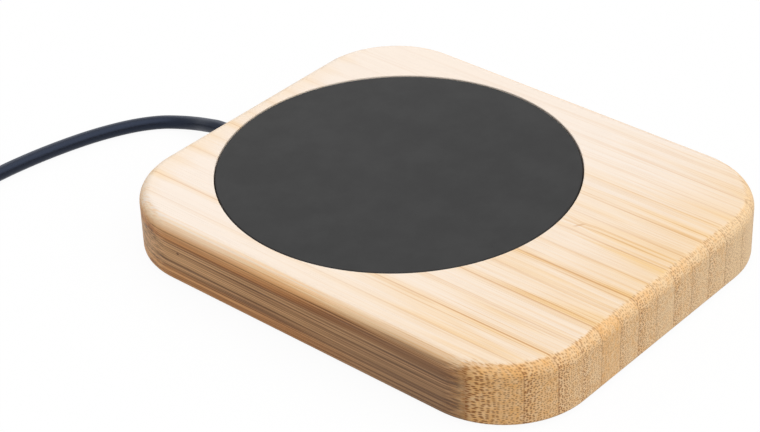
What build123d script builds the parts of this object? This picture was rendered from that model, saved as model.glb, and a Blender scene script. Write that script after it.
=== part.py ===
from build123d import *
import math
import os

# Electric mug warmer: a bamboo slab with a round heating plate let into its top. The plate rides on
# a moulded carrier, held up by three springs, and sinks under a mug to press a switch on the board
# below. A moulded cover closes the underside, and a thin USB lead leaves by the back face.
#
# Frame: millimetres, +Z up, +Y towards the lead along the grain, origin on the table under the
# middle of the slab. Everything under the plate is laid out round the plate's own centre.

# ---------------------------------------------------------------- driving dimensions: bamboo slab
slab_width = 100.0  # X
slab_length = 122.0  # Y
slab_thickness = 15.0
slab_corner = 21.5  # corner radius in plan
slab_top_round = 3.0
slab_bottom_round = 1.0
foot_stand = 1.0  # how far the feet hold the slab off the table

# ---------------------------------------------------------------- heating plate and its pocket
plate_diameter = 85.0
plate_thickness = 2.0
plate_edge_chamfer = 0.3
plate_margin = 5.0  # slab left between the plate and the back face
plate_sink = 0.15  # plate's face below the slab's face
plate_gap = 0.25  # running gap round the plate
plate_travel = 0.8  # how far a mug presses the plate down
travel_reserve = 0.2  # room left under the rim when the plate is down
ledge_width = 4.5  # slab left under the plate's edge, round the well

# ---------------------------------------------------------------- carrier under the plate
rim_thickness = 1.6
rim_setback = 0.4  # carrier's rim inside the plate's edge
dish_gap = 0.6  # between the dish and the well
dish_wall = 1.2
film_thickness = 0.3
film_setback = 1.2  # film's edge inside the dish
trace_thickness = 0.15
pad_thickness = 1.6
soft_gap = 0.15  # air on each face of the soft insulation
peg_diameter = 3.0
peg_clearance = 0.1  # radial, peg in its sleeve
peg_chamfer = 0.4
hook_thickness = 1.6
hook_width = 5.0
hook_beam = 3.4  # free length above a hook's catch face
hook_lip = 1.4  # how far a hook reaches through its window
hook_face = 0.9  # height of the lip's outer face
hook_clearance = 0.3
carrier_rib_height = 0.5
carrier_rib_width = 0.9

# ---------------------------------------------------------------- underside cover
cover_inset = 6.0  # cover's edge inside the slab's edge
cover_thickness = 1.8
cover_gap = 0.15
cover_chamfer = 0.4
sleeve_wall = 1.0
catch_wall = 1.6  # the three curved walls that the hooks catch in
catch_half_angle = 14.0
catch_setback = 2.9  # from the well's wall to the catch walls
window_clearance = 0.8  # window beside its hook
foot_diameter = 10.0
foot_chamfer = 0.4
foot_recess = 0.6
foot_inset_x = 8.0  # foot's centre inside the cover's edges
foot_inset_y = 13.0
screw_diameter = 2.9
screw_head_diameter = 5.4
screw_length = 9.0
screw_clearance = 0.05
screw_sink = 0.2  # heads inside the cover's face
countersink_clearance = 0.1
screw_inset_x = 18.0
screw_inset_y = 4.5

# ---------------------------------------------------------------- springs
spring_wire = 0.5
spring_clearance = 0.3  # coil round its sleeve
spring_turns = 3
spring_end_gap = 0.03
spring_sides = 4  # the wire's section, drawn with few sides
spring_setback = 12.0  # spring centres inside the well's wall

# ---------------------------------------------------------------- control board
board_thickness = 1.6
board_stand = 1.6  # height of its bosses
board_room = 3.2  # clear space between board and springs
board_to_hook = 1.5  # clear space between the board's corners and the hooks
board_corner = 1.5
board_screw_inset = 3.2
board_screw_diameter = 1.9
board_screw_head = 3.4
board_screw_head_height = 1.2
board_hole_clearance = 0.2
board_boss_diameter = 5.0
switch_size = 6.0
switch_corner = 0.6
switch_height = 1.8
switch_lip = 0.4
plunger_diameter = 2.8
plunger_collar = 3.4
plunger_collar_height = 0.5
plunger_clearance = 0.1
lead_wire = 1.0
sensor_wire = 0.6
wire_sides = 6  # the inner leads' section
solder_gap = 0.05

# ---------------------------------------------------------------- lead, gland and plug
cord_diameter = 3.5
cord_height = 4.2  # lead's centre above the slab's underside, where it leaves
cord_clearance = 0.05
slot_width = 7.0
slot_overrun = 4.0  # past the well's wall, which curves away from the slot
gland_clearance = 0.2
gland_flange_width = 11.0
gland_flange_thickness = 1.5
gland_flange_corner = 1.0
gland_seat_gap = 0.1  # flange to the well's wall
gland_boot_length = 8.0
gland_boot_root = 6.2
gland_boot_tip = 4.7
gland_grooves = (2.6, 4.8)  # from the slab's face
gland_groove_size = (0.8, 1.3)
clamp_width = 5.0
clamp_from_gland = 3.2
clamp_screw_offset = 3.0  # screw's axis to the side of the lead
clamp_ear = 2.1  # from the screw's axis to the clamp's end
clamp_hole_clearance = 0.15
clamp_screw_bite = 0.6  # how far its hole goes into the cover
jacket_past_clamp = 2.0
conductor_diameter = 1.1
coil_turns_across = 4
coil_layers = 2
coil_middle_radius = 20.5
plug_body = (15.4, 17.0, 7.6)
plug_corner = 2.4
plug_shoulder = (4.0, 4.0, 1.6)  # length of the drawn-in back, and how much narrower and lower it gets
plug_relief_length = 6.0
plug_relief_wall = (0.4, 1.4)  # round the lead, at the relief's tip and root
plug_groove_count = 4
plug_groove_size = (10.4, 0.9, 0.3)
plug_groove_pitch = 2.2
plug_groove_start = 7.0  # first groove, from the body's back
plug_shell = (12.0, 12.0, 4.5)
plug_shell_wall = 0.35
plug_shell_corner = 0.5
plug_shell_clearance = 0.05
latch_window = (2.4, 2.2)
latch_pitch = 4.4
latch_from_grip = 6.2

# ---------------------------------------------------------------- levels, from the table up
slab_bottom = foot_stand
slab_top = slab_bottom + slab_thickness
cover_top = slab_bottom + cover_thickness
plate_top = slab_top - plate_sink
plate_bottom = plate_top - plate_thickness
film_bottom = plate_bottom - film_thickness
trace_bottom = film_bottom - trace_thickness
pad_top = trace_bottom - soft_gap
pad_bottom = pad_top - pad_thickness
dish_top = pad_bottom - soft_gap
dish_bottom = dish_top - dish_wall
rim_bottom = plate_bottom - rim_thickness
ledge_top = rim_bottom - plate_travel - travel_reserve
wall_top = dish_bottom - carrier_rib_height - plate_travel - travel_reserve
board_bottom = cover_top + board_stand
board_top = board_bottom + board_thickness
switch_top = board_top + switch_height
cord_z = slab_bottom + cord_height

# ---------------------------------------------------------------- plan sizes, from the plate's centre
plate_y = slab_length / 2 - plate_margin - plate_diameter / 2
pocket_radius = plate_diameter / 2 + plate_gap
well_radius = plate_diameter / 2 - ledge_width
dish_radius = well_radius - dish_gap
rim_radius = plate_diameter / 2 - rim_setback
film_radius = dish_radius - dish_wall - film_setback
catch_outer = well_radius - catch_setback
catch_inner = catch_outer - catch_wall
hook_outer = catch_inner - hook_clearance
hook_inner = hook_outer - hook_thickness
window_top = dish_bottom - hook_beam
hook_bottom = window_top - hook_face - hook_lip
window_bottom = hook_bottom - plate_travel
sleeve_inner = peg_diameter / 2 + peg_clearance
sleeve_outer = sleeve_inner + sleeve_wall
spring_radius = sleeve_outer + spring_clearance + spring_wire / 2
spring_outer = spring_radius + spring_wire / 2
spring_ring = well_radius - spring_setback
spring_angles = (60, 180, 300)
hook_angles = (0, 120, 240)
back_face = slab_length / 2 - plate_y


def level(z):
    """The horizontal plane at height z, centred under the heating plate."""
    return Plane((0, plate_y, z))


def upright(x, y):
    """The upright plane through (x, y), with its own x along X and its own y along Z."""
    return Plane((x, y, 0), x_dir=(1, 0, 0), z_dir=(0, -1, 0))


def polar(radius, angle):
    """A point at this radius and angle in degrees."""
    return radius * math.cos(math.radians(angle)), radius * math.sin(math.radians(angle))


os.makedirs("parts", exist_ok=True)


def save(piece, name):
    """Label a finished piece and write its STEP file."""
    piece.part.label = name
    export_step(piece.part, f"parts/{name}.step")


# ================================================================ bamboo slab
cover_width = slab_width - 2 * cover_inset
cover_length = slab_length - 2 * cover_inset
cover_corner = slab_corner - cover_inset
cover_screw_x = cover_width / 2 - screw_inset_x
cover_screw_y = cover_length / 2 - screw_inset_y
recess_width = cover_width + 2 * cover_gap
recess_length = cover_length + 2 * cover_gap

with BuildPart() as bamboo_slab:
    with BuildSketch(Plane.XY.offset(slab_bottom)):
        RectangleRounded(slab_width, slab_length, slab_corner)
    extrude(amount=slab_thickness)
    fillet(bamboo_slab.faces().sort_by(Axis.Z)[-1].edges(), radius=slab_top_round)
    fillet(bamboo_slab.faces().sort_by(Axis.Z)[0].edges(), radius=slab_bottom_round)
    # pocket for the plate, and the well below it
    with BuildSketch(level(slab_top)):
        Circle(pocket_radius)
    extrude(amount=ledge_top - slab_top, mode=Mode.SUBTRACT)
    with BuildSketch(level(slab_bottom)):
        Circle(well_radius)
    extrude(amount=slab_thickness, mode=Mode.SUBTRACT)
    # recess for the underside cover
    with BuildSketch(Plane.XY.offset(slab_bottom)):
        RectangleRounded(recess_width, recess_length, cover_corner + cover_gap)
    extrude(amount=cover_thickness, mode=Mode.SUBTRACT)
    # slot for the gland, open to the underside and round-topped
    with BuildSketch(Plane((0, slab_length / 2, 0), x_dir=(-1, 0, 0), z_dir=(0, 1, 0))):
        with Locations((0, cord_z)):
            Circle(slot_width / 2)
        with Locations((0, (slab_bottom + cord_z) / 2)):
            Rectangle(slot_width, cord_z - slab_bottom)
    extrude(amount=-(plate_margin + ledge_width + slot_overrun), mode=Mode.SUBTRACT)
    # pilot holes for the cover's screws
    with Locations(Plane.XY.offset(cover_top)):
        with GridLocations(2 * cover_screw_x, 2 * cover_screw_y, 2, 2):
            Cylinder(
                screw_diameter / 2 + screw_clearance,
                screw_length,
                align=(Align.CENTER, Align.CENTER, Align.MIN),
                mode=Mode.SUBTRACT,
            )
save(bamboo_slab, "bamboo_slab")

# ================================================================ heating plate
with BuildPart() as heating_plate:
    with BuildSketch(level(plate_bottom)):
        Circle(plate_diameter / 2)
    extrude(amount=plate_thickness)
    chamfer(heating_plate.edges().group_by(Axis.Z)[-1], length=plate_edge_chamfer)
save(heating_plate, "heating_plate")

with BuildPart() as heater_film:
    with BuildSketch(level(film_bottom)):
        Circle(film_radius)
    extrude(amount=film_thickness)
save(heater_film, "heater_film")

# ---------------------------------------------------------------- etched heating track
# Rings cut through on the line of symmetry and joined in turn at the front and back, so that one
# track runs out from the left pad, round every ring, and back in to the right pad.
track_width = 1.7
track_inner = 9.5
track_rings = 4
track_split = 5.0
track_overcut = 0.3  # how far the split runs past the last ring that it cuts
track_edge = 1.3  # film left outside the last ring
track_outer = film_radius - track_edge - track_width / 2
track_pitch = (track_outer - track_inner) / (track_rings - 1)
track_radii = [track_inner + track_pitch * ring for ring in range(track_rings)]
terminal_size = 3.4
terminal_x = track_split / 2 + 0.4

with BuildPart() as heater_track:
    with BuildSketch(level(trace_bottom)):
        for radius in reversed(track_radii):
            Circle(radius + track_width / 2)
            Circle(radius - track_width / 2, mode=Mode.SUBTRACT)
        # the last ring stays whole on the side away from its links, where the two halves meet
        whole_side = -1 if track_rings % 2 == 0 else 1
        whole_cut = track_radii[-2] + track_width / 2 + track_overcut
        through_cut = track_radii[-1] + track_width / 2 + track_overcut
        with Locations((0, whole_side * whole_cut / 2)):
            Rectangle(track_split, whole_cut, mode=Mode.SUBTRACT)
        with Locations((0, -whole_side * through_cut / 2)):
            Rectangle(track_split, through_cut, mode=Mode.SUBTRACT)
        for ring in range(track_rings - 1):
            side = 1 if ring % 2 == 0 else -1
            middle = (track_radii[ring] + track_radii[ring + 1]) / 2
            with Locations(
                (track_split / 2 + track_width / 2, side * middle),
                (-track_split / 2 - track_width / 2, side * middle),
            ):
                Rectangle(track_width, track_pitch + track_width / 2)
        with Locations((terminal_x, -track_inner), (-terminal_x, -track_inner)):
            Rectangle(track_width, terminal_size)
    extrude(amount=trace_thickness)
save(heater_track, "heater_track")

# ---------------------------------------------------------------- insulation under the film
lead_window_width = 10.0
lead_window_front = 15.0
lead_window_back = 8.5

with BuildPart() as insulation_pad:
    with BuildSketch(level(pad_bottom)):
        Circle(film_radius)
        with Locations((0, (lead_window_back - lead_window_front) / 2)):
            Rectangle(lead_window_width, lead_window_back + lead_window_front, mode=Mode.SUBTRACT)
    extrude(amount=pad_thickness)
save(insulation_pad, "insulation_pad")

# ================================================================ plate carrier
lead_slot_width = 9.0
lead_slot_length = 5.0
lead_slot_corner = 1.0
lead_slot_y = -11.5
heater_lead_y = lead_slot_y + 1.2
actuator_diameter = 5.0
actuator_height = dish_bottom - switch_top - plate_travel - travel_reserve
peg_bottom = cover_top + plate_travel + travel_reserve
rib_inner = 5.0
rib_to_hook = 1.5
rib_outer = hook_inner - rib_to_hook
rib_angles = (30, 90, 150, 210, 330)

with BuildPart() as plate_carrier:
    # dish and rim, turned about the plate's axis
    with BuildSketch(upright(0, plate_y)):
        with BuildLine():
            Polyline(
                (0, dish_bottom),
                (dish_radius, dish_bottom),
                (dish_radius, rim_bottom),
                (rim_radius, rim_bottom),
                (rim_radius, plate_bottom),
                (dish_radius - dish_wall, plate_bottom),
                (dish_radius - dish_wall, dish_top),
                (0, dish_top),
                (0, dish_bottom),
            )
        make_face()
    revolve(axis=Axis((0, plate_y, 0), (0, 0, 1)))
    # stiffening ribs between hooks and pegs, with none over the leads' slot
    with BuildSketch(level(dish_bottom)):
        for angle in rib_angles:
            with Locations(Location(polar((rib_inner + rib_outer) / 2, angle), angle)):
                Rectangle(rib_outer - rib_inner, carrier_rib_width)
    extrude(amount=-carrier_rib_height)
    # guide pegs
    with BuildSketch(level(dish_bottom)):
        with PolarLocations(spring_ring, 3, start_angle=spring_angles[0]):
            Circle(peg_diameter / 2)
    extrude(amount=peg_bottom - dish_bottom)
    chamfer(plate_carrier.edges().group_by(Axis.Z)[0], length=peg_chamfer)
    # actuator over the switch
    with BuildSketch(level(dish_bottom)):
        Circle(actuator_diameter / 2)
    extrude(amount=-actuator_height)
    # snap hooks: a beam with a lip that slopes inwards below its catch face
    for angle in hook_angles:
        with BuildSketch(
            Plane((0, plate_y, 0), x_dir=(*polar(1, angle), 0), z_dir=(*polar(1, angle - 90), 0))
        ):
            with BuildLine():
                Polyline(
                    (hook_inner, dish_bottom),
                    (hook_inner, hook_bottom),
                    (hook_outer, hook_bottom),
                    (hook_outer + hook_lip, window_top - hook_face),
                    (hook_outer + hook_lip, window_top),
                    (hook_outer, window_top),
                    (hook_outer, dish_bottom),
                    (hook_inner, dish_bottom),
                )
            make_face()
        extrude(amount=hook_width / 2, both=True)
    # slot for the heater's leads
    with BuildSketch(level(dish_bottom - carrier_rib_height)):
        with Locations((0, lead_slot_y)):
            RectangleRounded(lead_slot_width, lead_slot_length, lead_slot_corner)
    extrude(amount=dish_wall + carrier_rib_height, mode=Mode.SUBTRACT)
save(plate_carrier, "plate_carrier")

# ================================================================ springs
spring_bottom = cover_top + spring_end_gap + spring_wire / 2
spring_height = dish_bottom - cover_top - 2 * spring_end_gap - spring_wire
spring_pitch = spring_height / spring_turns

with BuildPart() as carrier_springs:
    for angle in spring_angles:
        x, y = polar(spring_ring, angle)
        with BuildLine(Plane((x, y + plate_y, spring_bottom))):
            coil_line = Helix(pitch=spring_pitch, height=spring_height, radius=spring_radius)
        with BuildSketch(Plane(origin=coil_line @ 0, z_dir=coil_line % 0)):
            RegularPolygon(spring_wire / 2, spring_sides)
        sweep(path=coil_line, is_frenet=True)
save(carrier_springs, "carrier_springs")

# ================================================================ control board
board_front = -(spring_ring * math.sin(math.radians(60)) - spring_outer - board_room)
board_back = -board_front
board_left = -(spring_ring - spring_outer - board_room)
board_right = math.sqrt((hook_inner - board_to_hook) ** 2 - board_back**2)
board_width = board_right - board_left
board_length = board_back - board_front
board_middle = ((board_left + board_right) / 2, 0)
board_screw_places = [
    (board_left + board_screw_inset, board_front + board_screw_inset),
    (board_right - board_screw_inset, board_back - board_screw_inset),
]

with BuildPart() as control_board:
    with BuildSketch(level(board_bottom)):
        with Locations(board_middle):
            RectangleRounded(board_width, board_length, board_corner)
        with Locations(*board_screw_places):
            Circle(board_screw_diameter / 2 + board_hole_clearance, mode=Mode.SUBTRACT)
    extrude(amount=board_thickness)
save(control_board, "control_board")

with BuildPart() as board_screws:
    with BuildSketch(level(board_top)):
        with Locations(*board_screw_places):
            Circle(board_screw_head / 2)
    extrude(amount=board_screw_head_height)
    chamfer(board_screws.edges().group_by(Axis.Z)[-1], length=board_screw_head_height / 3)
    with BuildSketch(level(board_top)):
        with Locations(*board_screw_places):
            Circle(board_screw_diameter / 2)
    extrude(amount=cover_top - board_top)
save(board_screws, "board_screws")

# ---------------------------------------------------------------- weight switch, under the plate's centre
with BuildPart() as switch_body:
    with BuildSketch(level(board_top)):
        RectangleRounded(switch_size, switch_size, switch_corner)
        Circle(plunger_collar / 2 + plunger_clearance, mode=Mode.SUBTRACT)
    extrude(amount=switch_height - switch_lip)
    with BuildSketch(level(switch_top - switch_lip)):
        RectangleRounded(switch_size, switch_size, switch_corner)
        Circle(plunger_diameter / 2 + plunger_clearance, mode=Mode.SUBTRACT)
    extrude(amount=switch_lip)
save(switch_body, "switch_body")

plunger_top = dish_bottom - actuator_height
collar_top = switch_top - switch_lip
with BuildPart() as switch_plunger:
    with BuildSketch(level(collar_top - plunger_collar_height)):
        Circle(plunger_collar / 2)
    extrude(amount=plunger_collar_height)
    with BuildSketch(level(collar_top)):
        Circle(plunger_diameter / 2)
    extrude(amount=plunger_top - collar_top)
save(switch_plunger, "switch_plunger")

# ---------------------------------------------------------------- parts on the board
chip_size = (3.9, 4.9, 1.4)
chip_lift = 0.1  # the chip's body stands off the board on its legs
chip_chamfer = 0.25
leg_size = (1.0, 0.4, 0.5)
leg_pitch = 1.27
leg_root = 0.1  # how far a leg goes into the body
part_gap = 1.5  # between parts on the board
chip_x = switch_size / 2 + part_gap + leg_size[0] + chip_size[0] / 2
with BuildPart() as controller_chip:
    with Locations(level(board_top)):
        with Locations((chip_x, 0, chip_lift)):
            Box(*chip_size, align=(Align.CENTER, Align.CENTER, Align.MIN))
    chamfer(controller_chip.edges().group_by(Axis.Z)[-1], length=chip_chamfer)
    with Locations(level(board_top)):
        with Locations((chip_x, 0, 0)):
            with GridLocations(chip_size[0] + leg_size[0] - 2 * leg_root, leg_pitch, 2, 4):
                Box(*leg_size, align=(Align.CENTER, Align.CENTER, Align.MIN))
save(controller_chip, "controller_chip")

transistor_body = (6.1, 6.5, 1.9)
transistor_tab = (2.2, 5.4, 0.5)
transistor_chamfer = 0.3
transistor_x = chip_x + chip_size[0] / 2 + leg_size[0] + part_gap / 2 + transistor_body[0] / 2
with BuildPart() as power_transistor:
    with Locations(level(board_top)):
        with Locations((transistor_x, 0, 0)):
            Box(*transistor_body, align=(Align.CENTER, Align.CENTER, Align.MIN))
    chamfer(power_transistor.edges().group_by(Axis.Z)[-1], length=transistor_chamfer)
    with Locations(level(board_top)):
        with Locations((transistor_x + transistor_body[0] / 2 + transistor_tab[0] / 2, 0, 0)):
            Box(*transistor_tab, align=(Align.CENTER, Align.CENTER, Align.MIN))
save(power_transistor, "power_transistor")

capacitor_size = (2.5, 3.2, 1.6)
capacitor_round = 0.25
capacitor_near = -switch_size / 2 - part_gap - capacitor_size[0] / 2
capacitor_x = (capacitor_near, capacitor_near - capacitor_size[0] - part_gap)
with BuildPart() as capacitors:
    for x in capacitor_x:
        with Locations(level(board_top)):
            with Locations((x, 0, 0)):
                Box(*capacitor_size, align=(Align.CENTER, Align.CENTER, Align.MIN))
    fillet(capacitors.edges().filter_by(Axis.Y).group_by(Axis.Z)[-1], radius=capacitor_round)
save(capacitors, "capacitors")

resistor_size = (1.25, 2.0, 0.5)
resistor_pitch = 2.6
resistor_row = 3.2  # from the board's front edge
with BuildPart() as resistors:
    with Locations(level(board_top)):
        with Locations((chip_x + resistor_pitch / 2, board_front + resistor_row, 0)):
            with GridLocations(resistor_pitch, 0, 3, 1):
                Box(*resistor_size, align=(Align.CENTER, Align.CENTER, Align.MIN))
save(resistors, "resistors")

# ---------------------------------------------------------------- sensors on the heating film
sensor_height = 1.2
cutoff_size = (7.0, 3.2, 1.3)
cutoff_corner = 1.2
cutoff_y = 5.6
bead_size = (1.6, 2.4)
bead_corner = 0.5
with BuildPart() as temperature_sensor:
    with BuildSketch(level(trace_bottom - sensor_height)):
        RectangleRounded(*bead_size, bead_corner)
    extrude(amount=sensor_height + trace_thickness)
save(temperature_sensor, "temperature_sensor")

with BuildPart() as thermal_cutoff:
    with BuildSketch(level(film_bottom - cutoff_size[2])):
        with Locations((0, cutoff_y)):
            RectangleRounded(cutoff_size[0], cutoff_size[1], cutoff_corner)
    extrude(amount=cutoff_size[2])
save(thermal_cutoff, "thermal_cutoff")


def wire(path_points, bend, diameter):
    """Sweep a six-sided wire along bent straight runs; called inside a part's block."""
    with BuildLine() as run:
        FilletPolyline(*[(x, y + plate_y, z) for x, y, z in path_points], radius=bend)
    with BuildSketch(Plane(origin=run.line @ 0, z_dir=run.line % 0)) as section:
        RegularPolygon(diameter / 2, wire_sides)
    sweep(section.sketch, path=run.line)


pad_inset = 3.4  # solder pads, from the board's front edge
pad_spread = 0.7  # heater's pads outside its terminals
pad_y = board_front + pad_inset
lead_bend = 0.8
lead_top = trace_bottom - solder_gap
lead_bottom = board_top + solder_gap
lead_jog = (8.2, 9.6)  # the leads cross to their pads between these heights
with BuildPart() as heater_leads:
    for side in (-1, 1):
        wire(
            [
                (side * terminal_x, heater_lead_y, lead_top),
                (side * terminal_x, heater_lead_y, lead_jog[1]),
                (side * (terminal_x + pad_spread), pad_y, lead_jog[0]),
                (side * (terminal_x + pad_spread), pad_y, lead_bottom),
            ],
            lead_bend,
            lead_wire,
        )
save(heater_leads, "heater_leads")

sensor_lead_x = 0.5
sensor_lead_bend = 0.6
sensor_lead_z = trace_bottom - sensor_height / 2
with BuildPart() as sensor_leads:
    for side in (-1, 1):
        wire(
            [
                (side * sensor_lead_x, -bead_size[1] / 2 - solder_gap, sensor_lead_z),
                (side * sensor_lead_x, lead_slot_y, sensor_lead_z),
                (side * sensor_lead_x, lead_slot_y, lead_jog[1]),
                (side * sensor_lead_x, pad_y, lead_jog[0]),
                (side * sensor_lead_x, pad_y, lead_bottom),
            ],
            sensor_lead_bend,
            sensor_wire,
        )
save(sensor_leads, "sensor_leads")

# ================================================================ underside cover
flange_seat = math.sqrt(well_radius**2 - (gland_flange_width / 2) ** 2) - gland_seat_gap
gland_flange_front = flange_seat - gland_flange_thickness
clamp_y = gland_flange_front - clamp_from_gland - clamp_width / 2
clamp_half_span = cord_diameter / 2 + clamp_screw_offset
clamp_length = 2 * (clamp_half_span + clamp_ear)
clamp_split = 0.4  # gap between saddle and clamp, so that the clamp grips
saddle_top = cord_z - clamp_split / 2
wing_height = 1.4
clamp_roof = 1.15
conductor_start = clamp_y - clamp_width / 2 - jacket_past_clamp

foot_x = cover_width / 2 - foot_inset_x
foot_y = cover_length / 2 - foot_inset_y
tongue_setback = 0.6  # the tongue's end inside the slab's back face
tongue_root = cover_length / 2 - 1.0  # well inside the cover's edge
tongue_end = slab_length / 2 - tongue_setback

with BuildPart() as base_cover:
    with BuildSketch(Plane.XY.offset(slab_bottom)):
        RectangleRounded(cover_width, cover_length, cover_corner)
    extrude(amount=cover_thickness)
    chamfer(base_cover.faces().sort_by(Axis.Z)[0].edges(), length=cover_chamfer)
    # tongue that closes the gland's slot from below
    with BuildSketch(Plane.XY.offset(slab_bottom)):
        with Locations((0, (tongue_root + tongue_end) / 2)):
            Rectangle(slot_width - 2 * cover_gap, tongue_end - tongue_root)
    extrude(amount=cover_thickness)
    # sleeves for the guide pegs
    with BuildSketch(level(cover_top)):
        with PolarLocations(spring_ring, 3, start_angle=spring_angles[0]):
            Circle(sleeve_outer)
    extrude(amount=wall_top - cover_top)
    # catch walls, each an arc with a window for its hook
    with BuildSketch(level(cover_top)):
        for angle in hook_angles:
            with BuildLine():
                outer_arc = CenterArc((0, 0), catch_outer, angle - catch_half_angle, 2 * catch_half_angle)
                inner_arc = CenterArc((0, 0), catch_inner, angle - catch_half_angle, 2 * catch_half_angle)
                Line(outer_arc @ 0, inner_arc @ 0)
                Line(outer_arc @ 1, inner_arc @ 1)
            make_face()
    extrude(amount=wall_top - cover_top)
    for angle in hook_angles:
        with BuildSketch(level(window_bottom)):
            with Locations(Location((*polar((catch_inner + catch_outer) / 2, angle), 0), angle)):
                Rectangle(2 * catch_wall, hook_width + 2 * window_clearance)
        extrude(amount=window_top - window_bottom, mode=Mode.SUBTRACT)
    # bosses under the board
    with BuildSketch(level(cover_top)):
        with Locations(*board_screw_places):
            Circle(board_boss_diameter / 2)
            Circle(board_screw_diameter / 2 + screw_clearance, mode=Mode.SUBTRACT)
    extrude(amount=board_stand)
    # saddle under the lead's clamp
    with BuildSketch(level(cover_top)):
        with Locations((0, clamp_y)):
            Rectangle(clamp_length, clamp_width)
    extrude(amount=saddle_top - cover_top)
    with Locations(Location((0, clamp_y + plate_y, cord_z), (90, 0, 0))):
        Cylinder(cord_diameter / 2 + cord_clearance, clamp_width * 2, mode=Mode.SUBTRACT)
    with BuildSketch(level(saddle_top)):
        with Locations((-clamp_half_span, clamp_y), (clamp_half_span, clamp_y)):
            Circle(board_screw_diameter / 2 + screw_clearance)
    extrude(amount=-(saddle_top - cover_top + clamp_screw_bite), mode=Mode.SUBTRACT)
    # peg bores, blind
    with BuildSketch(level(cover_top)):
        with PolarLocations(spring_ring, 3, start_angle=spring_angles[0]):
            Circle(sleeve_inner)
    extrude(amount=dish_bottom - cover_top, mode=Mode.SUBTRACT)
    # recesses for the feet and countersinks for the screws, from below
    with BuildSketch(Plane.XY.offset(slab_bottom)):
        with GridLocations(2 * foot_x, 2 * foot_y, 2, 2):
            Circle(foot_diameter / 2 + cover_gap)
    extrude(amount=foot_recess, mode=Mode.SUBTRACT)
    with Locations(Plane.XY.offset(slab_bottom).rotated((180, 0, 0))):
        with GridLocations(2 * cover_screw_x, 2 * cover_screw_y, 2, 2):
            CounterSinkHole(
                screw_diameter / 2 + countersink_clearance,
                screw_head_diameter / 2 + screw_sink + countersink_clearance,
                depth=cover_thickness,
                counter_sink_angle=90,
            )
save(base_cover, "base_cover")

# ---------------------------------------------------------------- cover screws and feet
screw_cone = (screw_head_diameter - screw_diameter) / 2
screw_cross = (2.6, 0.6)  # the head's cross recess
screw_cross_depth = 0.8
screw_face = slab_bottom + screw_sink
screw_end = screw_face + screw_length
with BuildPart() as cover_screws:
    for x in (-cover_screw_x, cover_screw_x):
        for y in (-cover_screw_y, cover_screw_y):
            with BuildSketch(upright(x, y)):
                with BuildLine():
                    Polyline(
                        (0, screw_face),
                        (screw_head_diameter / 2, screw_face),
                        (screw_diameter / 2, screw_face + screw_cone),
                        (screw_diameter / 2, screw_end),
                        (0, screw_end),
                        (0, screw_face),
                    )
                make_face()
            revolve(axis=Axis((x, y, 0), (0, 0, 1)))
    # cross recess in each head
    with BuildSketch(Plane.XY.offset(screw_face)):
        with GridLocations(2 * cover_screw_x, 2 * cover_screw_y, 2, 2):
            Rectangle(*screw_cross)
            Rectangle(*reversed(screw_cross))
    extrude(amount=screw_cross_depth, mode=Mode.SUBTRACT)
save(cover_screws, "cover_screws")

with BuildPart() as feet:
    with BuildSketch(Plane.XY):
        with GridLocations(2 * foot_x, 2 * foot_y, 2, 2):
            Circle(foot_diameter / 2)
    extrude(amount=foot_stand + foot_recess)
    chamfer(feet.edges().group_by(Axis.Z)[0], length=foot_chamfer)
save(feet, "feet")

# ================================================================ lead inside the slab
flange_bottom = cover_top + gland_clearance
flange_top = dish_bottom - plate_travel - gland_clearance
gland_bottom = cover_top + gland_clearance
gland_half_width = slot_width / 2 - gland_clearance
boot_root_y = slab_length / 2
boot_tip_y = boot_root_y + gland_boot_length
lead_axis = Plane((0, plate_y, cord_z), x_dir=(-1, 0, 0), z_dir=(0, 1, 0))

with BuildPart() as cord_gland:
    # neck that fills the slot
    with BuildSketch(lead_axis.offset(gland_flange_front)):
        Circle(gland_half_width)
        with Locations((0, gland_bottom - cord_z)):
            Rectangle(
                2 * gland_half_width,
                slot_width,
                align=(Align.CENTER, Align.MIN),
                mode=Mode.INTERSECT,
            )
    extrude(amount=back_face - gland_flange_front)
    # flange behind the slab's wall
    with BuildSketch(lead_axis.offset(gland_flange_front)):
        with Locations((0, (flange_bottom + flange_top) / 2 - cord_z)):
            RectangleRounded(gland_flange_width, flange_top - flange_bottom, gland_flange_corner)
    extrude(amount=gland_flange_thickness)
    # tapered boot outside, with grooves that let it flex
    with BuildSketch(Plane.YZ.shift_origin((0, boot_root_y, cord_z))):
        with BuildLine():
            Polyline(
                (0, 0),
                (0, gland_boot_root / 2),
                (gland_boot_length, gland_boot_tip / 2),
                (gland_boot_length, 0),
                (0, 0),
            )
        make_face()
        with Locations(*[(groove_y, gland_boot_root / 2) for groove_y in gland_grooves]):
            Rectangle(*gland_groove_size, mode=Mode.SUBTRACT)
    revolve(axis=Axis((0, boot_root_y, cord_z), (0, 1, 0)))
    with BuildSketch(lead_axis):
        Circle(cord_diameter / 2 + cord_clearance)
    extrude(amount=back_face + gland_boot_length, mode=Mode.SUBTRACT)
save(cord_gland, "cord_gland")

with BuildPart() as cord_entry:
    with BuildSketch(lead_axis.offset(conductor_start)):
        Circle(cord_diameter / 2)
    extrude(amount=back_face + gland_boot_length - conductor_start)
save(cord_entry, "cord_entry")

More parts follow.
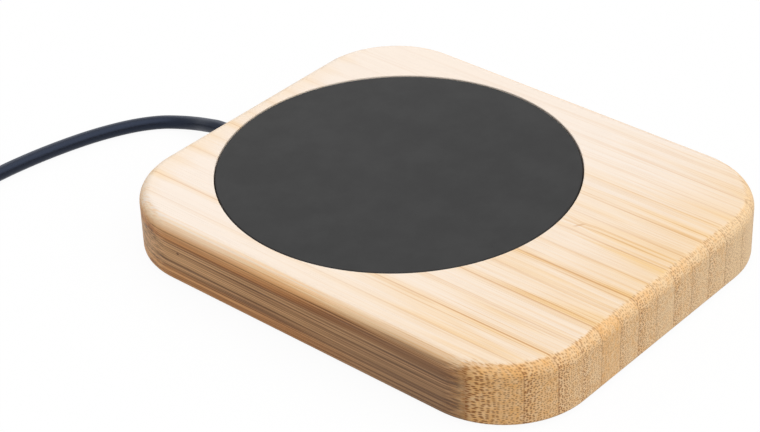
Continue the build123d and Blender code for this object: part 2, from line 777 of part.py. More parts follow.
with BuildPart() as cord_clamp:
    with BuildSketch(lead_axis.offset(clamp_y - clamp_width / 2)):
        with Locations((0, clamp_split / 2 + wing_height / 2)):
            Rectangle(clamp_length, wing_height)
        with Locations((0, clamp_split / 2)):
            Rectangle(
                cord_diameter + 2 * clamp_roof,
                cord_diameter / 2 + clamp_roof - clamp_split / 2,
                align=(Align.CENTER, Align.MIN),
            )
        Circle(cord_diameter / 2 + cord_clearance, mode=Mode.SUBTRACT)
    extrude(amount=clamp_width)
    with BuildSketch(level(0)):
        with Locations((-clamp_half_span, clamp_y), (clamp_half_span, clamp_y)):
            Circle(board_screw_diameter / 2 + clamp_hole_clearance)
    extrude(amount=slab_top, mode=Mode.SUBTRACT)
save(cord_clamp, "cord_clamp")

wing_top = cord_z + clamp_split / 2 + wing_height
with BuildPart() as clamp_screws:
    with BuildSketch(level(wing_top)):
        with Locations((-clamp_half_span, clamp_y), (clamp_half_span, clamp_y)):
            Circle(board_screw_head / 2)
    extrude(amount=board_screw_head_height)
    chamfer(clamp_screws.edges().group_by(Axis.Z)[-1], length=board_screw_head_height / 3)
    with BuildSketch(level(wing_top)):
        with Locations((-clamp_half_span, clamp_y), (clamp_half_span, clamp_y)):
            Circle(board_screw_diameter / 2)
    extrude(amount=cover_top - wing_top)
save(clamp_screws, "clamp_screws")

conductor_x = 0.8  # each conductor beside the lead's axis
conductor_straight = 2.2  # straight out of the jacket, before it drops to the board
conductor_pad_x = 3.2
conductor_landing = 1.6  # how far from the board's edge it is down
conductor_lap = 3.0  # how far it lies over the board
conductor_z = board_top + conductor_diameter / 2 + solder_gap
with BuildPart() as power_leads:
    for side in (-1, 1):
        wire(
            [
                (side * conductor_x, conductor_start - solder_gap, cord_z),
                (side * conductor_x, conductor_start - conductor_straight, cord_z),
                (side * conductor_pad_x, board_back + conductor_landing, conductor_z),
                (side * conductor_pad_x, board_back - conductor_lap, conductor_z),
            ],
            lead_bend,
            conductor_diameter,
        )
save(power_leads, "power_leads")

# ================================================================ free lead
# The route's points were laid out by hand: down from the boot to the table, round to the left
# behind the slab, and on to the coil that keeps the rest of the lead.
cord_radius = cord_diameter / 2
coil_outer = coil_middle_radius + (coil_turns_across - 1) / 2 * cord_diameter
coil_inner = coil_middle_radius - (coil_turns_across - 1) / 2 * cord_diameter
coil_join = (-64.0, 104.0)
coil_centre = (coil_join[0], coil_join[1] + coil_outer)
coil_height = coil_layers * cord_diameter
lead_points = [
    (0, boot_tip_y, cord_z),
    (0, 72.1, cord_z),
    (0.1, 75.7, 4.3),
    (0.9, 80.8, 2.6),
    (-0.4, 86.0, cord_radius),
    (-3.7, 90.4, cord_radius),
    (-10.3, 95.1, cord_radius),
    (-21.0, 99.5, cord_radius),
    (-35.8, 102.9, cord_radius),
    (-50.0, 104.3, cord_radius),
    (*coil_join, cord_radius),
]
plug_x = coil_centre[0] - coil_outer
plug_start_y = coil_centre[1] + 16.0
plug_z = plug_body[2] / 2
tail_points = [
    (plug_x, coil_centre[1], coil_height - cord_radius),
    (plug_x, coil_centre[1] + 5.0, coil_height - cord_radius),
    (plug_x, coil_centre[1] + 11.0, plug_z),
    (plug_x, plug_start_y, plug_z),
]


def corner_radii(points):
    """Radius of the arc at each inner point: as large as its two runs allow."""
    radii = []
    for before, here, after in zip(points, points[1:], points[2:]):
        run_in = Vector(*here) - Vector(*before)
        run_out = Vector(*after) - Vector(*here)
        half_turn = math.radians(run_in.get_angle(run_out) / 2)
        radii.append(0.45 * min(run_in.length, run_out.length) / math.tan(half_turn))
    return radii


def free_tube(points):
    """Sweep the lead's section along a route of straight runs and arcs; called inside a block."""
    with BuildLine() as route:
        FilletPolyline(*points, radius=corner_radii(points))
    with BuildSketch(Plane(origin=route.line @ 0, z_dir=route.line % 0)) as section:
        Circle(cord_radius)
    sweep(section.sketch, path=route.line)
    return route.wire().length


with BuildPart() as cord_lead:
    lead_length = free_tube(lead_points)
save(cord_lead, "cord_lead")

with BuildPart() as cord_tail:
    tail_length = free_tube(tail_points)
save(cord_tail, "cord_tail")

# ---------------------------------------------------------------- coil and its tie
coil_corner = 0.9  # the outer turns' roundness, taken off the coil's corners
tie_width = 5.0
tie_thickness = 0.8
tie_corner = 0.6  # inside radius of its bends
tie_gap = 0.15
tie_angle = 20.0
tie_relief = (6.0, 1.0)  # how much longer and wider the space under the coil is

with BuildPart() as cord_coil:
    with BuildSketch(upright(*coil_centre)):
        with Locations((coil_middle_radius, coil_height / 2)):
            Rectangle(coil_turns_across * cord_diameter, coil_height)
        chamfer(vertices(), length=coil_corner)
    revolve(axis=Axis((coil_centre[0], coil_centre[1], 0), (0, 0, 1)))
    # the tie passes under the coil here
    with Locations(Location((*coil_centre, 0), (0, 0, tie_angle))):
        with Locations((coil_middle_radius, 0, 0)):
            Box(
                coil_turns_across * cord_diameter + tie_relief[0],
                tie_width + tie_relief[1],
                2 * (tie_thickness + tie_gap),
                mode=Mode.SUBTRACT,
            )
save(cord_coil, "cord_coil")

tie_bow = tie_width**2 / 8 / coil_inner  # the turns' curve within the tie's width
tie_inner_width = coil_turns_across * cord_diameter + 2 * (tie_gap + tie_bow)
tie_plane = Plane(
    (
        coil_centre[0] + polar(coil_middle_radius, tie_angle)[0],
        coil_centre[1] + polar(coil_middle_radius, tie_angle)[1],
        tie_thickness,
    ),
    x_dir=(*polar(1, tie_angle), 0),
    z_dir=(*polar(1, tie_angle - 90), 0),
)
tie_inner_height = coil_height + tie_gap
with BuildPart() as cord_tie:
    with BuildSketch(tie_plane):
        with Locations((0, tie_inner_height / 2)):
            RectangleRounded(
                tie_inner_width + 2 * tie_thickness,
                tie_inner_height + 2 * tie_thickness,
                tie_corner + tie_thickness,
            )
            RectangleRounded(tie_inner_width, tie_inner_height, tie_corner, mode=Mode.SUBTRACT)
    extrude(amount=tie_width / 2, both=True)
save(cord_tie, "cord_tie")

# ================================================================ USB plug
plug_body_y = plug_start_y + plug_relief_length
plug_front_y = plug_body_y + plug_body[1]
plug_axis = Plane((plug_x, 0, plug_z), x_dir=(-1, 0, 0), z_dir=(0, 1, 0))
shell_seat = 6.0  # how far the shell runs back into the moulded body
shell_inner_width = plug_shell[0] - 2 * plug_shell_wall
shell_inner_height = plug_shell[2] - 2 * plug_shell_wall
shell_seat_width = plug_shell[0] + 2 * plug_shell_clearance
shell_seat_height = plug_shell[2] + 2 * plug_shell_clearance

with BuildPart() as plug_grip:
    # the moulded body, drawn in at its back where the lead enters
    with BuildSketch(plug_axis.offset(plug_body_y)):
        RectangleRounded(plug_body[0] - plug_shoulder[1], plug_body[2] - plug_shoulder[2], plug_corner)
    with BuildSketch(plug_axis.offset(plug_body_y + plug_shoulder[0])):
        RectangleRounded(plug_body[0], plug_body[2], plug_corner)
    loft()
    with BuildSketch(plug_axis.offset(plug_body_y + plug_shoulder[0])):
        RectangleRounded(plug_body[0], plug_body[2], plug_corner)
    extrude(amount=plug_body[1] - plug_shoulder[0])
    # tapered relief round the lead
    with BuildSketch(plug_axis.offset(plug_start_y)):
        Circle(cord_radius + plug_relief_wall[0])
    with BuildSketch(plug_axis.offset(plug_body_y)):
        Circle(cord_radius + plug_relief_wall[1])
    loft()
    # finger grooves across both broad faces
    groove_row = plug_body_y + plug_groove_start + (plug_groove_count - 1) / 2 * plug_groove_pitch
    for side in (-1, 1):
        with Locations((plug_x, groove_row, plug_z + side * (plug_body[2] - plug_groove_size[2]) / 2)):
            with GridLocations(0, plug_groove_pitch, 1, plug_groove_count):
                Box(*plug_groove_size, mode=Mode.SUBTRACT)
    # seat of the metal shell
    with BuildSketch(plug_axis.offset(plug_front_y)):
        Rectangle(shell_seat_width, shell_seat_height)
    extrude(amount=-shell_seat, mode=Mode.SUBTRACT)
save(plug_grip, "plug_grip")

with BuildPart() as plug_shell_tube:
    with BuildSketch(plug_axis.offset(plug_front_y - shell_seat)):
        RectangleRounded(plug_shell[0], plug_shell[2], plug_shell_corner)
        Rectangle(shell_inner_width, shell_inner_height, mode=Mode.SUBTRACT)
    extrude(amount=shell_seat + plug_shell[1])
    # the two square latch windows in each broad face
    with BuildSketch(Plane.XY):
        with Locations((plug_x, plug_front_y + latch_from_grip)):
            with GridLocations(latch_pitch, 0, 2, 1):
                Rectangle(*latch_window)
    extrude(amount=plug_body[2], mode=Mode.SUBTRACT)
save(plug_shell_tube, "plug_shell")

tongue_height = 1.8
tongue_gap = 0.05
tongue_base = plug_z - plug_shell[2] / 2 + plug_shell_wall + tongue_gap
tongue_back = 0.1  # clear of the seat's end
tongue_short = 0.5  # inside the shell's mouth
with BuildPart() as plug_tongue:
    with Locations((plug_x, plug_front_y - shell_seat + tongue_back, tongue_base)):
        Box(
            shell_inner_width - 2 * tongue_gap,
            shell_seat + plug_shell[1] - tongue_back - tongue_short,
            tongue_height,
            align=(Align.CENTER, Align.MIN, Align.MIN),
        )
save(plug_tongue, "plug_tongue")

contact_size = (1.0, 7.5, 0.2)
contact_pitch = 2.4
contact_setback = 2.0  # from the shell's mouth
contact_end_y = plug_front_y + plug_shell[1] - contact_setback
with BuildPart() as plug_contacts:
    with Locations((plug_x, contact_end_y, tongue_base + tongue_height)):
        with GridLocations(contact_pitch, 0, 4, 1):
            Box(*contact_size, align=(Align.CENTER, Align.MAX, Align.MIN))
save(plug_contacts, "plug_contacts")

# ---------------------------------------------------------------- what the lead measures
coil_length = 2 * math.pi * coil_middle_radius * (coil_turns_across * coil_layers - 0.75)
print("lead radii", [round(r, 1) for r in corner_radii(lead_points)])
print("tail radii", [round(r, 1) for r in corner_radii(tail_points)])
section = math.pi * cord_radius**2
for tube, length in ((cord_lead, lead_length), (cord_tail, tail_length)):
    print(f"{tube.part.label}: volume {tube.part.volume:.2f}, section x length {section * length:.2f}")
print(f"free lead {lead_length + coil_length + tail_length:.0f} mm")
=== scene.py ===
"""Looks of an electric mug warmer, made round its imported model.

Upright bamboo strips, glued side by side, make the body. A coated plate lies in its top, and a thin
jacketed lead leaves the back face, turns left on the table and ends in a tied coil and a plug.
Lengths are metres, mostly written as millimetres times MM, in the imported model's own frame: X across the
strips, Y along them towards the lead, Z up from the table.
"""
from __future__ import annotations

import logging
import math
from collections.abc import Callable, Iterable, Sequence
from dataclasses import dataclass
from enum import Enum

import bmesh
import bpy
from mathutils import Matrix, Vector


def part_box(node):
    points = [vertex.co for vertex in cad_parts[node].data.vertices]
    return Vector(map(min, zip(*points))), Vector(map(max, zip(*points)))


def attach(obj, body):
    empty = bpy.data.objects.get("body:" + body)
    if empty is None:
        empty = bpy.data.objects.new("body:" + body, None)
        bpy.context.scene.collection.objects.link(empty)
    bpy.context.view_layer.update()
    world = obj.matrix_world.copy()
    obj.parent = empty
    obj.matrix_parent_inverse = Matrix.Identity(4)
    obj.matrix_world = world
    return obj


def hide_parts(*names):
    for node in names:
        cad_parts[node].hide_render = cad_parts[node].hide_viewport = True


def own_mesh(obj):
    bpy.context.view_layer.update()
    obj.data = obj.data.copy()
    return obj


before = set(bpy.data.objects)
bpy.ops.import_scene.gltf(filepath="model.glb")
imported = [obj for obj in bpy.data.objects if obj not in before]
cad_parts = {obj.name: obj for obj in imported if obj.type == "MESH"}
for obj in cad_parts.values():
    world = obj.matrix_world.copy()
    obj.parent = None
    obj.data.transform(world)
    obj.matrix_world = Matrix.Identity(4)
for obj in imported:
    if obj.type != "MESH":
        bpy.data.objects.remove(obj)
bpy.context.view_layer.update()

MM = 0.001
log = logging.getLogger("mug_warmer")

Colour = tuple[float, float, float, float]
Point = tuple[float, float, float]
Pair = tuple[float, float]

WHITE: Colour = (1.0, 1.0, 1.0, 1.0)
COLOUR_MIX = {"data_type": "RGBA", "clamp_factor": True}


def srgb(*channels: int) -> Colour:
    """Turn a screen colour, 0 to 255 each, into the linear colour that shaders use."""
    shares = (channel / 255 for channel in channels)
    return (*(c / 12.92 if c <= 0.04045 else ((c + 0.055) / 1.055) ** 2.4 for c in shares), 1.0)


# ---- shader expressions
def _operator(operation: str, swapped: bool = False) -> Callable[..., Socket]:
    """A method that adds one Math node, or with swapped an operator's reflected form."""
    order = -1 if swapped else 1
    return lambda *pair: pair[0].maths(operation, *pair[::order])


class Socket:
    """A shader node's output, which adds Math nodes when it is used in an expression."""

    __add__, __radd__ = _operator("ADD"), _operator("ADD", True)
    __sub__, __rsub__ = _operator("SUBTRACT"), _operator("SUBTRACT", True)
    __mul__, __rmul__ = _operator("MULTIPLY"), _operator("MULTIPLY", True)
    __truediv__, __rtruediv__ = _operator("DIVIDE"), _operator("DIVIDE", True)
    # the whole number below, what is left above it, the value without its sign, the smaller of two
    floor, fraction, size, least = (_operator(name) for name in ("FLOOR", "FRACT", "ABSOLUTE", "MINIMUM"))

    def __init__(self, graph: Graph, link: bpy.types.NodeSocket) -> None:
        """Keep the node tree and the output in it."""
        self.graph = graph
        self.link = link

    def maths(self, operation: str, *values: Feed) -> Socket:
        """Add one Math node, fed with these values in order."""
        return self.graph.node("Math", {"operation": operation}, dict(enumerate(values)))

    def rise(self, low: Feed, high: Feed) -> Socket:
        """A smooth step from 0 at low to 1 at high."""
        stops = {"Value": self, "From Min": low, "From Max": high}
        return self.graph.node("MapRange", {"interpolation_type": "SMOOTHSTEP"}, stops)

    def fall(self, low: Feed, high: Feed) -> Socket:
        """A smooth step from 1 at low to 0 at high."""
        return 1 - self.rise(low, high)


Feed = Socket | float | Sequence[float]


class Graph:
    """One material's node tree and the nodes that it is given."""

    def __init__(self, tree: bpy.types.NodeTree) -> None:
        """Find the tree's own surface shader."""
        self.tree = tree
        self.shader = next((n for n in tree.nodes if n.type == "BSDF_PRINCIPLED"), None)

    def feed(self, socket: bpy.types.NodeSocket, value: Feed) -> None:
        """Link an output to a socket, or set the socket to a value.

        Args:
            socket: A socket that takes a value.
            value: The output or the value.
        """
        if isinstance(value, Socket):
            self.tree.links.new(value.link, socket)
        else:
            socket.default_value = value

    def node(
        self, kind: str, settings: dict[str, object] | None = None,
        feeds: dict[str | int, Feed] | None = None, output: str | int = 0,
    ) -> Socket:
        """Add one node.

        Args:
            kind: The node's type, without the word ShaderNode.
            settings: Its own settings, which are made first; "ramp" is a ramp's kind and stops.
            feeds: A value or an output for each of its sockets, by name, identifier or number.
            output: The output that is wanted.

        Returns:
            That output.
        """
        made = self.tree.nodes.new("ShaderNode" + kind)
        for name, value in (settings or {}).items():
            if name == "ramp":
                self._set_ramp(made.color_ramp, *value)
            else:
                setattr(made, name, value)
        for name, value in (feeds or {}).items():
            self.feed(self._find(made.inputs, name), value)
        return Socket(self, self._find(made.outputs, output))

    @staticmethod
    def _find(sockets: bpy.types.bpy_prop_collection, name: str | int) -> bpy.types.NodeSocket:
        """A socket by its number, its identifier or else its name."""
        return next((s for s in sockets if s.identifier == name), None) or sockets[name]

    @staticmethod
    def _set_ramp(ramp: bpy.types.ColorRamp, kind: str, stops: Sequence[tuple[float, Colour]]) -> None:
        """Set a ramp.

        Args:
            ramp: The ramp.
            kind: Its kind of steps.
            stops: Its stops as (place, colour), in rising order.
        """
        ramp.interpolation = kind
        for place, _ in stops[2:]:
            ramp.elements.new(place)
        for element, (place, colour) in zip(ramp.elements, stops):
            element.position = place
            element.color = colour

    def axes(self, output: str, scale: float = 1.0) -> tuple[Socket, ...]:
        """Split the surface's own Object place or Normal direction into X, Y and Z, times a scale."""
        split = self.node("SeparateXYZ", feeds={0: self.node("TexCoord", output=output)})
        return tuple(Socket(self, part) * scale for part in split.link.node.outputs)

    def vector(self, x: Feed, y: Feed, z: Feed = 0.0) -> Socket:
        """Join three values."""
        return self.node("CombineXYZ", feeds={0: x, 1: y, 2: z})

    def noise(self, x: Feed, y: Feed, z: Feed = 0.0, detail: float = 2.0, roughness: float = 0.5) -> Socket:
        """Smooth noise, about 0.5, at a place that is given in its grains' own width."""
        feeds = {"Vector": self.vector(x, y, z), "Scale": 1.0, "Detail": detail, "Roughness": roughness}
        return self.node("TexNoise", feeds=feeds, output="Fac")

    def grains(
        self, size: float, detail: float = 2.0, roughness: float = 0.5, stretch: Point = (1.0, 1.0, 1.0)
    ) -> Socket:
        """Noise by the surface's own place: grains of a size in millimetres, finer where stretch is more."""
        x, y, z = self.axes("Object", 1 / (size * MM))
        return self.noise(x * stretch[0], y * stretch[1], z * stretch[2], detail, roughness)

    def blend(self, amount: Feed, under: Feed, over: Feed, mode: str = "MIX") -> Socket:
        """Lay one colour over another, as much as the amount from 0 to 1 says."""
        feeds = {"Factor_Float": amount, "A_Color": under, "B_Color": over}
        return self.node("Mix", {**COLOUR_MIX, "blend_type": mode}, feeds, "Result_Color")

    def layers(self, colour: Feed, *coats: tuple[Feed, Feed]) -> Feed:
        """Lay coats over a colour in turn.

        Args:
            colour: The lowest colour.
            coats: Of each, how much of it, from 0 to 1, and its colour.

        Returns:
            The colour that is left.
        """
        for amount, coat in coats:
            colour = self.blend(amount, colour, coat)
        return colour

    def surface(self, relief: Socket, depth: float, **feeds: Feed) -> None:
        """Feed the surface shader.

        Args:
            relief: A height from 0 to 1 for the surface's fine relief.
            depth: What 1 stands for, in millimetres.
            feeds: The shader's sockets, with _ for a space in a name.
        """
        feeds["Normal"] = self.node("Bump", feeds={"Height": relief, "Distance": depth * MM, "Strength": 1.0})
        for name, value in feeds.items():
            self.feed(self.shader.inputs[name.replace("_", " ")], value)


# ---- finishes
@dataclass(frozen=True)
class Finish:
    """What a surface is made of. Its material is made once and shared."""

    name: str
    slot: str

    def paint(self, graph: Graph) -> None:
        """Build the material's nodes.

        Args:
            graph: The material's nodes.
        """
        raise NotImplementedError

    def material(self) -> bpy.types.Material:
        """Make the material when it is first asked for.

        Returns:
            The material.
        """
        found = bpy.data.materials.get(self.name)
        if found is None:
            found = bpy.data.materials.new(self.name)
            found.use_nodes = True
            self.paint(Graph(found.node_tree))
        return found


@dataclass(frozen=True)
class Grain:
    """What the bamboo is like at a point: places in millimetres, the rest from 0 to 1."""

    x: Socket
    y: Socket
    z: Socket
    tone: Socket  # how warm this strip is
    dots: Socket  # how dark the dots in its end grain are
    seam: Socket  # how dark the nearest joint is
    off_seam: Socket  # how far the nearest joint is
    dense: Socket  # 1 where the strip's fibres crowd, on its left
    bundle: Socket  # 1 inside a fibre bundle
    fibre: Socket
    thread: Socket
    cloud: Socket
    scar: Socket  # 1 on the mark that the cane's own node left


@dataclass(frozen=True)
class Bamboo(Finish):
    """Solid bamboo: upright strips, each with its fibre bundles running along it as thin rods.

    Sizes are in millimetres here, because the pattern is worked out in them.
    """

    strip_width: float = 6.62
    first_joint: float = -22.6
    leftmost_strip: int = -5
    # of each strip, from the one nearest -X
    seams: tuple[float, ...] = (
        0.2, 0.3, 0.35, 1.0, 0.3, 0.7, 0.3, 0.9, 0.25, 0.4, 0.3, 0.4, 0.2, 0.3, 0.2, 0.3,
    )
    tones: tuple[float, ...] = (
        0.95, 0.85, 0.7, 0.45, 0.4, 0.75, 0.5, 0.6, 0.35, 0.6, 0.45, 0.55, 0.3, 0.4, 0.35, 0.4,
    )
    dots: tuple[float, ...] = (
        1.0, 1.0, 0.95, 1.0, 0.85, 0.3, 0.6, 0.9, 0.4, 0.75, 0.6, 0.8, 0.65, 0.5, 0.6, 0.5,
    )
    bundle_across: float = 0.6
    bundle_high: float = 0.52
    bundle_bend: Pair = (1.2, 3.6)  # how far the bundles drift across and up
    pale: Colour = srgb(252, 237, 222)
    honey: Colour = srgb(248, 208, 146)
    streak: Colour = srgb(208, 148, 86)
    end_light: Colour = srgb(255, 222, 176)
    end_warm: Colour = srgb(250, 194, 124)
    end_dot: Colour = srgb(148, 88, 40)
    # the flank's tones are partly browner wood and partly painted shade: the face turned from the lamps is
    # painted darker than the top and the ends
    side_light: Colour = srgb(238, 188, 136)
    side_mid: Colour = srgb(186, 138, 92)
    side_dark: Colour = srgb(98, 60, 32)
    side_gold: Colour = srgb(224, 158, 84)
    side_near: Colour = srgb(148, 117, 91)
    side_honey: Colour = srgb(240, 212, 178)
    # painted highlight: the shoulder, where the top round turns up towards the lamps, is painted far paler
    # than its golden wood
    lit_shoulder_bright: Colour = srgb(255, 224, 182)
    lit_shoulder_deep: Colour = srgb(255, 204, 148)
    lit_shoulder_pale: Colour = srgb(255, 234, 208)
    pocket_middle: float = 13.5  # along Y
    pocket_rim: Pair = (43.1, 43.5)  # radii between which the pocket's wall becomes the top
    node_place: Pair = (6.3, -33.6)  # of the cane's own node on the top, across and along
    node_reach: Pair = (3.2, 5.0)
    edge_line: float = 4.6  # heights of three lines along the flank
    lit_line: float = 12.7
    shaded_line: float = 11.8
    shoulder_foot: Pair = (12.1, 14.1)  # heights between which the flank becomes the shoulder's painted highlight
    speck: Pair = (36.5, 9.0)  # on the flank, along and up

    def _per_strip(self, graph: Graph, strip: Socket, values: Sequence[float]) -> Socket:
        """Give each strip its own value.

        Args:
            graph: The material's nodes.
            strip: The strip's number.
            values: The values, from the leftmost strip on.

        Returns:
            This strip's value.
        """
        stops = [(n / len(values), (value,) * 4) for n, value in enumerate(values)]
        place = (strip - self.leftmost_strip + 0.5) / len(values)
        return graph.node("ValToRGB", {"ramp": ("CONSTANT", stops)}, {0: place}, "Alpha")

    def _round_the_node(self, x: Socket, y: Socket) -> tuple[Socket, Socket]:
        """Push the grain aside where the cane's own node was planed through.

        Args:
            x: Place across the strips.
            y: Place along them.

        Returns:
            The place across that the grain follows, and 1 on the node's scar.
        """
        off_x = x - self.node_place[0]
        off_y = y - self.node_place[1]
        across, along = self.node_reach
        near = off_y.size().fall(0.0, along) * off_x.size().fall(0.3, across)
        scar = (off_y + off_x * 0.6).size().fall(0.1, 0.5) * off_x.size().fall(0.4, 1.6)
        return x + near * (off_x.rise(-1.6, 1.6) * 1.5 - 0.75), scar

    def _bundles(self, graph: Graph, place: Sequence[Socket], strip: Socket, dense: Socket) -> Socket:
        """Scatter the fibre bundles: cells across a strip that drift slowly along it.

        Args:
            graph: The material's nodes.
            place: X, Y and Z.
            strip: The strip's number.
            dense: 1 where the bundles crowd.

        Returns:
            1 inside a bundle.
        """
        x, y, z = place
        bend_x, bend_z = self.bundle_bend
        drift = graph.noise(strip * 3.7, y / 70, z / 25, 1) - 0.5
        cell = graph.vector(
            (x + drift * bend_x) / self.bundle_across, (z + drift * bend_z) / self.bundle_high + strip * 4.3
        )
        rods = {"voronoi_dimensions": "2D", "feature": "F1"}
        away = graph.node("TexVoronoi", rods, {"Vector": cell, "Scale": 1.0, "Randomness": 0.65})
        reach = dense * 0.06 + 0.26
        return away.fall(reach * 0.5, reach * 1.6)

    def _grain(self, graph: Graph) -> Grain:
        """Work out the strips and the fibres in them.

        Args:
            graph: The material's nodes.

        Returns:
            The bamboo's pattern.
        """
        x, y, z = graph.axes("Object", 1 / MM)
        x, scar = self._round_the_node(x, y)
        across = (x - self.first_joint) / self.strip_width
        strip = across.floor()
        joint = (across + 0.5).floor()
        dense = across.fraction().fall(0.0, 0.62)
        return Grain(
            x, y, z,
            tone=self._per_strip(graph, strip, self.tones),
            dots=self._per_strip(graph, strip, self.dots),
            seam=self._per_strip(graph, joint, self.seams),
            off_seam=(across - joint).size() * self.strip_width,
            dense=dense,
            bundle=self._bundles(graph, (x, y, z), strip, dense),
            fibre=graph.noise(x * 2.4, y * 0.014 + strip * 9.1, z * 2.4, 4, 0.68),
            thread=graph.noise(x * 7, y * 0.05, z * 7, 2, 0.6),
            cloud=graph.noise(x * 0.22, y * 0.015 + strip * 2, z * 0.2, 3),
            scar=scar,
        )

    def _top(self, graph: Graph, grain: Grain) -> Feed:
        """Colour the faces along the grain: pale, with honey beside the joints and thin brown lines.

        Args:
            graph: The material's nodes.
            grain: The bamboo's pattern.

        Returns:
            The colour.
        """
        x, y = grain.x, grain.y
        strength = (y.fall(-60, 10) * 0.75 + 0.35) * (1 - x.rise(5, 45) * 0.35)
        honeyed = grain.seam * grain.off_seam.fall(0.2, 2.2)
        patch = grain.cloud.rise(0.52, 0.68) * strength
        warmth = honeyed * 0.34 + patch * 0.32 + grain.tone * 0.16 + (grain.fibre - 0.5) * 1.1 * strength
        warmth = warmth + y.fall(-62, -32) * x.rise(-25, 0) * 0.24 - y * 0.0046
        warmth = warmth + y.rise(46, 60) * 0.4 - x.rise(5, 45) * 0.16
        lines = grain.fibre.rise(0.53, 0.66) * (honeyed * 0.42 + patch * 0.3 + 0.14)
        fine = grain.thread.rise(0.5, 0.74) * 0.18 + grain.bundle * (honeyed * 0.2 + 0.05)
        broken = grain.thread.rise(0.2, 0.5) * 0.5 + 0.35
        seam = grain.off_seam.fall(0.05, 0.3) * grain.seam * broken * strength
        return graph.layers(
            self.pale,
            (warmth, self.honey),
            ((lines + fine) * strength, self.streak),
            (seam + grain.scar * 0.5, self.streak),
        )

    def _ends(self, graph: Graph, grain: Grain) -> Feed:
        """Colour the end grain: bundles cut across, dark dots on a honey ground.

        Args:
            graph: The material's nodes.
            grain: The bamboo's pattern.

        Returns:
            The colour.
        """
        x, y, z = grain.x, grain.y, grain.z
        mottle = graph.noise(x * 1.1, y * 0.3, z * 0.7, 3, 0.6)
        warmth = grain.tone * 0.7 + (mottle - 0.5) * 1.7 + z.rise(9, 14) * 0.12 - x * 0.006
        pores = graph.noise(x * 4, y * 0.5, z * 4, 2, 0.7)
        dark = grain.bundle * (grain.dots * (grain.dense * 0.3 + 0.45) + 0.2)
        dark = dark * (1 - z.rise(13, 15.5) * 0.3 - x.rise(0, 40) * 0.25)
        return graph.layers(
            self.end_light,
            (warmth - 0.16, self.end_warm),
            (pores.rise(0.42, 0.68) * 0.24, self.end_dot),
            (dark * (y.fall(-40, 50) * 0.4 + 0.6), self.end_dot),
            (grain.off_seam.fall(0.05, 0.24) * 0.3, self.end_dot),
        )

    def _flank(self, graph: Graph, grain: Grain) -> tuple[Socket, Socket]:
        """One strip's broad face, with strong lines and more colour near its edges, painted darker than the
        top partly as shade, with a painted highlight on its shoulder.

        Args:
            graph: The material's nodes.
            grain: The bamboo's pattern.

        Returns:
            The face's colour, and the lines in it.
        """
        x, y, z = grain.x, grain.y, grain.z
        fine = graph.noise(x * 1.4, y * 0.009, z * 2.4, 5, 0.74)
        wide = graph.noise(x * 0.3, y * 0.012, z * 0.8 + 3)
        lined = fine * 0.72 + wide * 0.28
        near = y.fall(-30, 5)
        line = (z - self.edge_line).size().fall(0.1, 0.45)
        lit = (z - self.lit_line).size().fall(0.2, 0.6) * 0.06
        shaded = (z - self.shaded_line).size().fall(0.1, 0.5) * 0.04
        off_y, off_z = y - self.speck[0], z - self.speck[1]
        speck = (off_y * off_y + off_z * off_z * 2).fall(0.02, 0.25) * x.fall(-49, -45)
        paler = y * 0.0008 + y.rise(36, 58) * 0.04
        light = lined + paler + (lit - shaded) * y.fall(-5, 10) - line * 0.07 - speck * 0.12
        # browner wood and painted shade together keep the flank darker than the top
        ramp = [(0.4, self.side_dark), (0.5, self.side_mid), (0.6, self.side_light)]
        colour = graph.node("ValToRGB", {"ramp": ("LINEAR", ramp)}, {0: light})
        golden = z.fall(3.6, 5) * (0.35 - near * 0.35)
        colour = graph.layers(
            graph.blend(golden, colour, self.side_gold, "SOFT_LIGHT"),
            (grain.thread.rise(0.5, 0.75) * 0.25, self.side_dark),
            (near * 0.35, self.side_near),
        )
        # the shoulder's golden, lined wood, painted paler as a highlight where the round turns up to the
        # lamps, paler still towards the far end
        shoulder = graph.layers(
            self.lit_shoulder_deep,
            ((fine * 0.6 + grain.thread * 0.4).rise(0.42, 0.58), self.lit_shoulder_bright),
            (grain.fibre.rise(0.5, 0.6) * 0.4, self.side_gold),
            (y.rise(5, 32) * 0.5, self.lit_shoulder_pale),
            (near * 0.2, self.side_near),
        )
        # the painted highlight's foot follows the lines and lies lower at the near end
        height = z + (lined - 0.5) * 6 - y.fall(-32, 14) * 1.2
        colour = graph.blend(height.rise(*self.shoulder_foot), colour, shoulder)
        honey = z.rise(10.6, 11.8) * z.fall(13.4, 15.2) * (1 - near * 0.6)
        return graph.blend(honey, colour, self.side_honey, "MULTIPLY"), lined

    def paint(self, graph: Graph) -> None:
        """Lay the three kinds of face over each other by the way that they face; the flank's colour carries
        painted shade and a painted highlight.

        Args:
            graph: The material's nodes.
        """
        facing_x, facing_y, _ = graph.axes("Normal")
        grain = self._grain(graph)
        flank, lined = self._flank(graph, grain)
        side = (facing_x.size() + (lined - 0.5) * 1.4 + (grain.fibre - 0.5) * 1.6).rise(0.16, 0.74)
        end = (facing_y.size() + (grain.bundle - 0.5) * 0.12 - grain.y.rise(10, 50) * 0.5).rise(0.1, 0.34)
        # the pocket's wall is as pale as the top
        off_y = grain.y - self.pocket_middle
        inner, outer = self.pocket_rim
        outside = (grain.x * grain.x + off_y * off_y).rise(inner * inner, outer * outer)
        side, end = side * outside, end * outside
        graph.surface(
            grain.fibre * 0.5 + grain.thread * 0.5 - grain.bundle * 0.5, 0.05,
            Base_Color=graph.layers(self._top(graph, grain), (side, flank), (end, self._ends(graph, grain))),
            Roughness=grain.thread * 0.12 + end * 0.12 + 0.46,
            Specular_IOR_Level=0.3,
        )


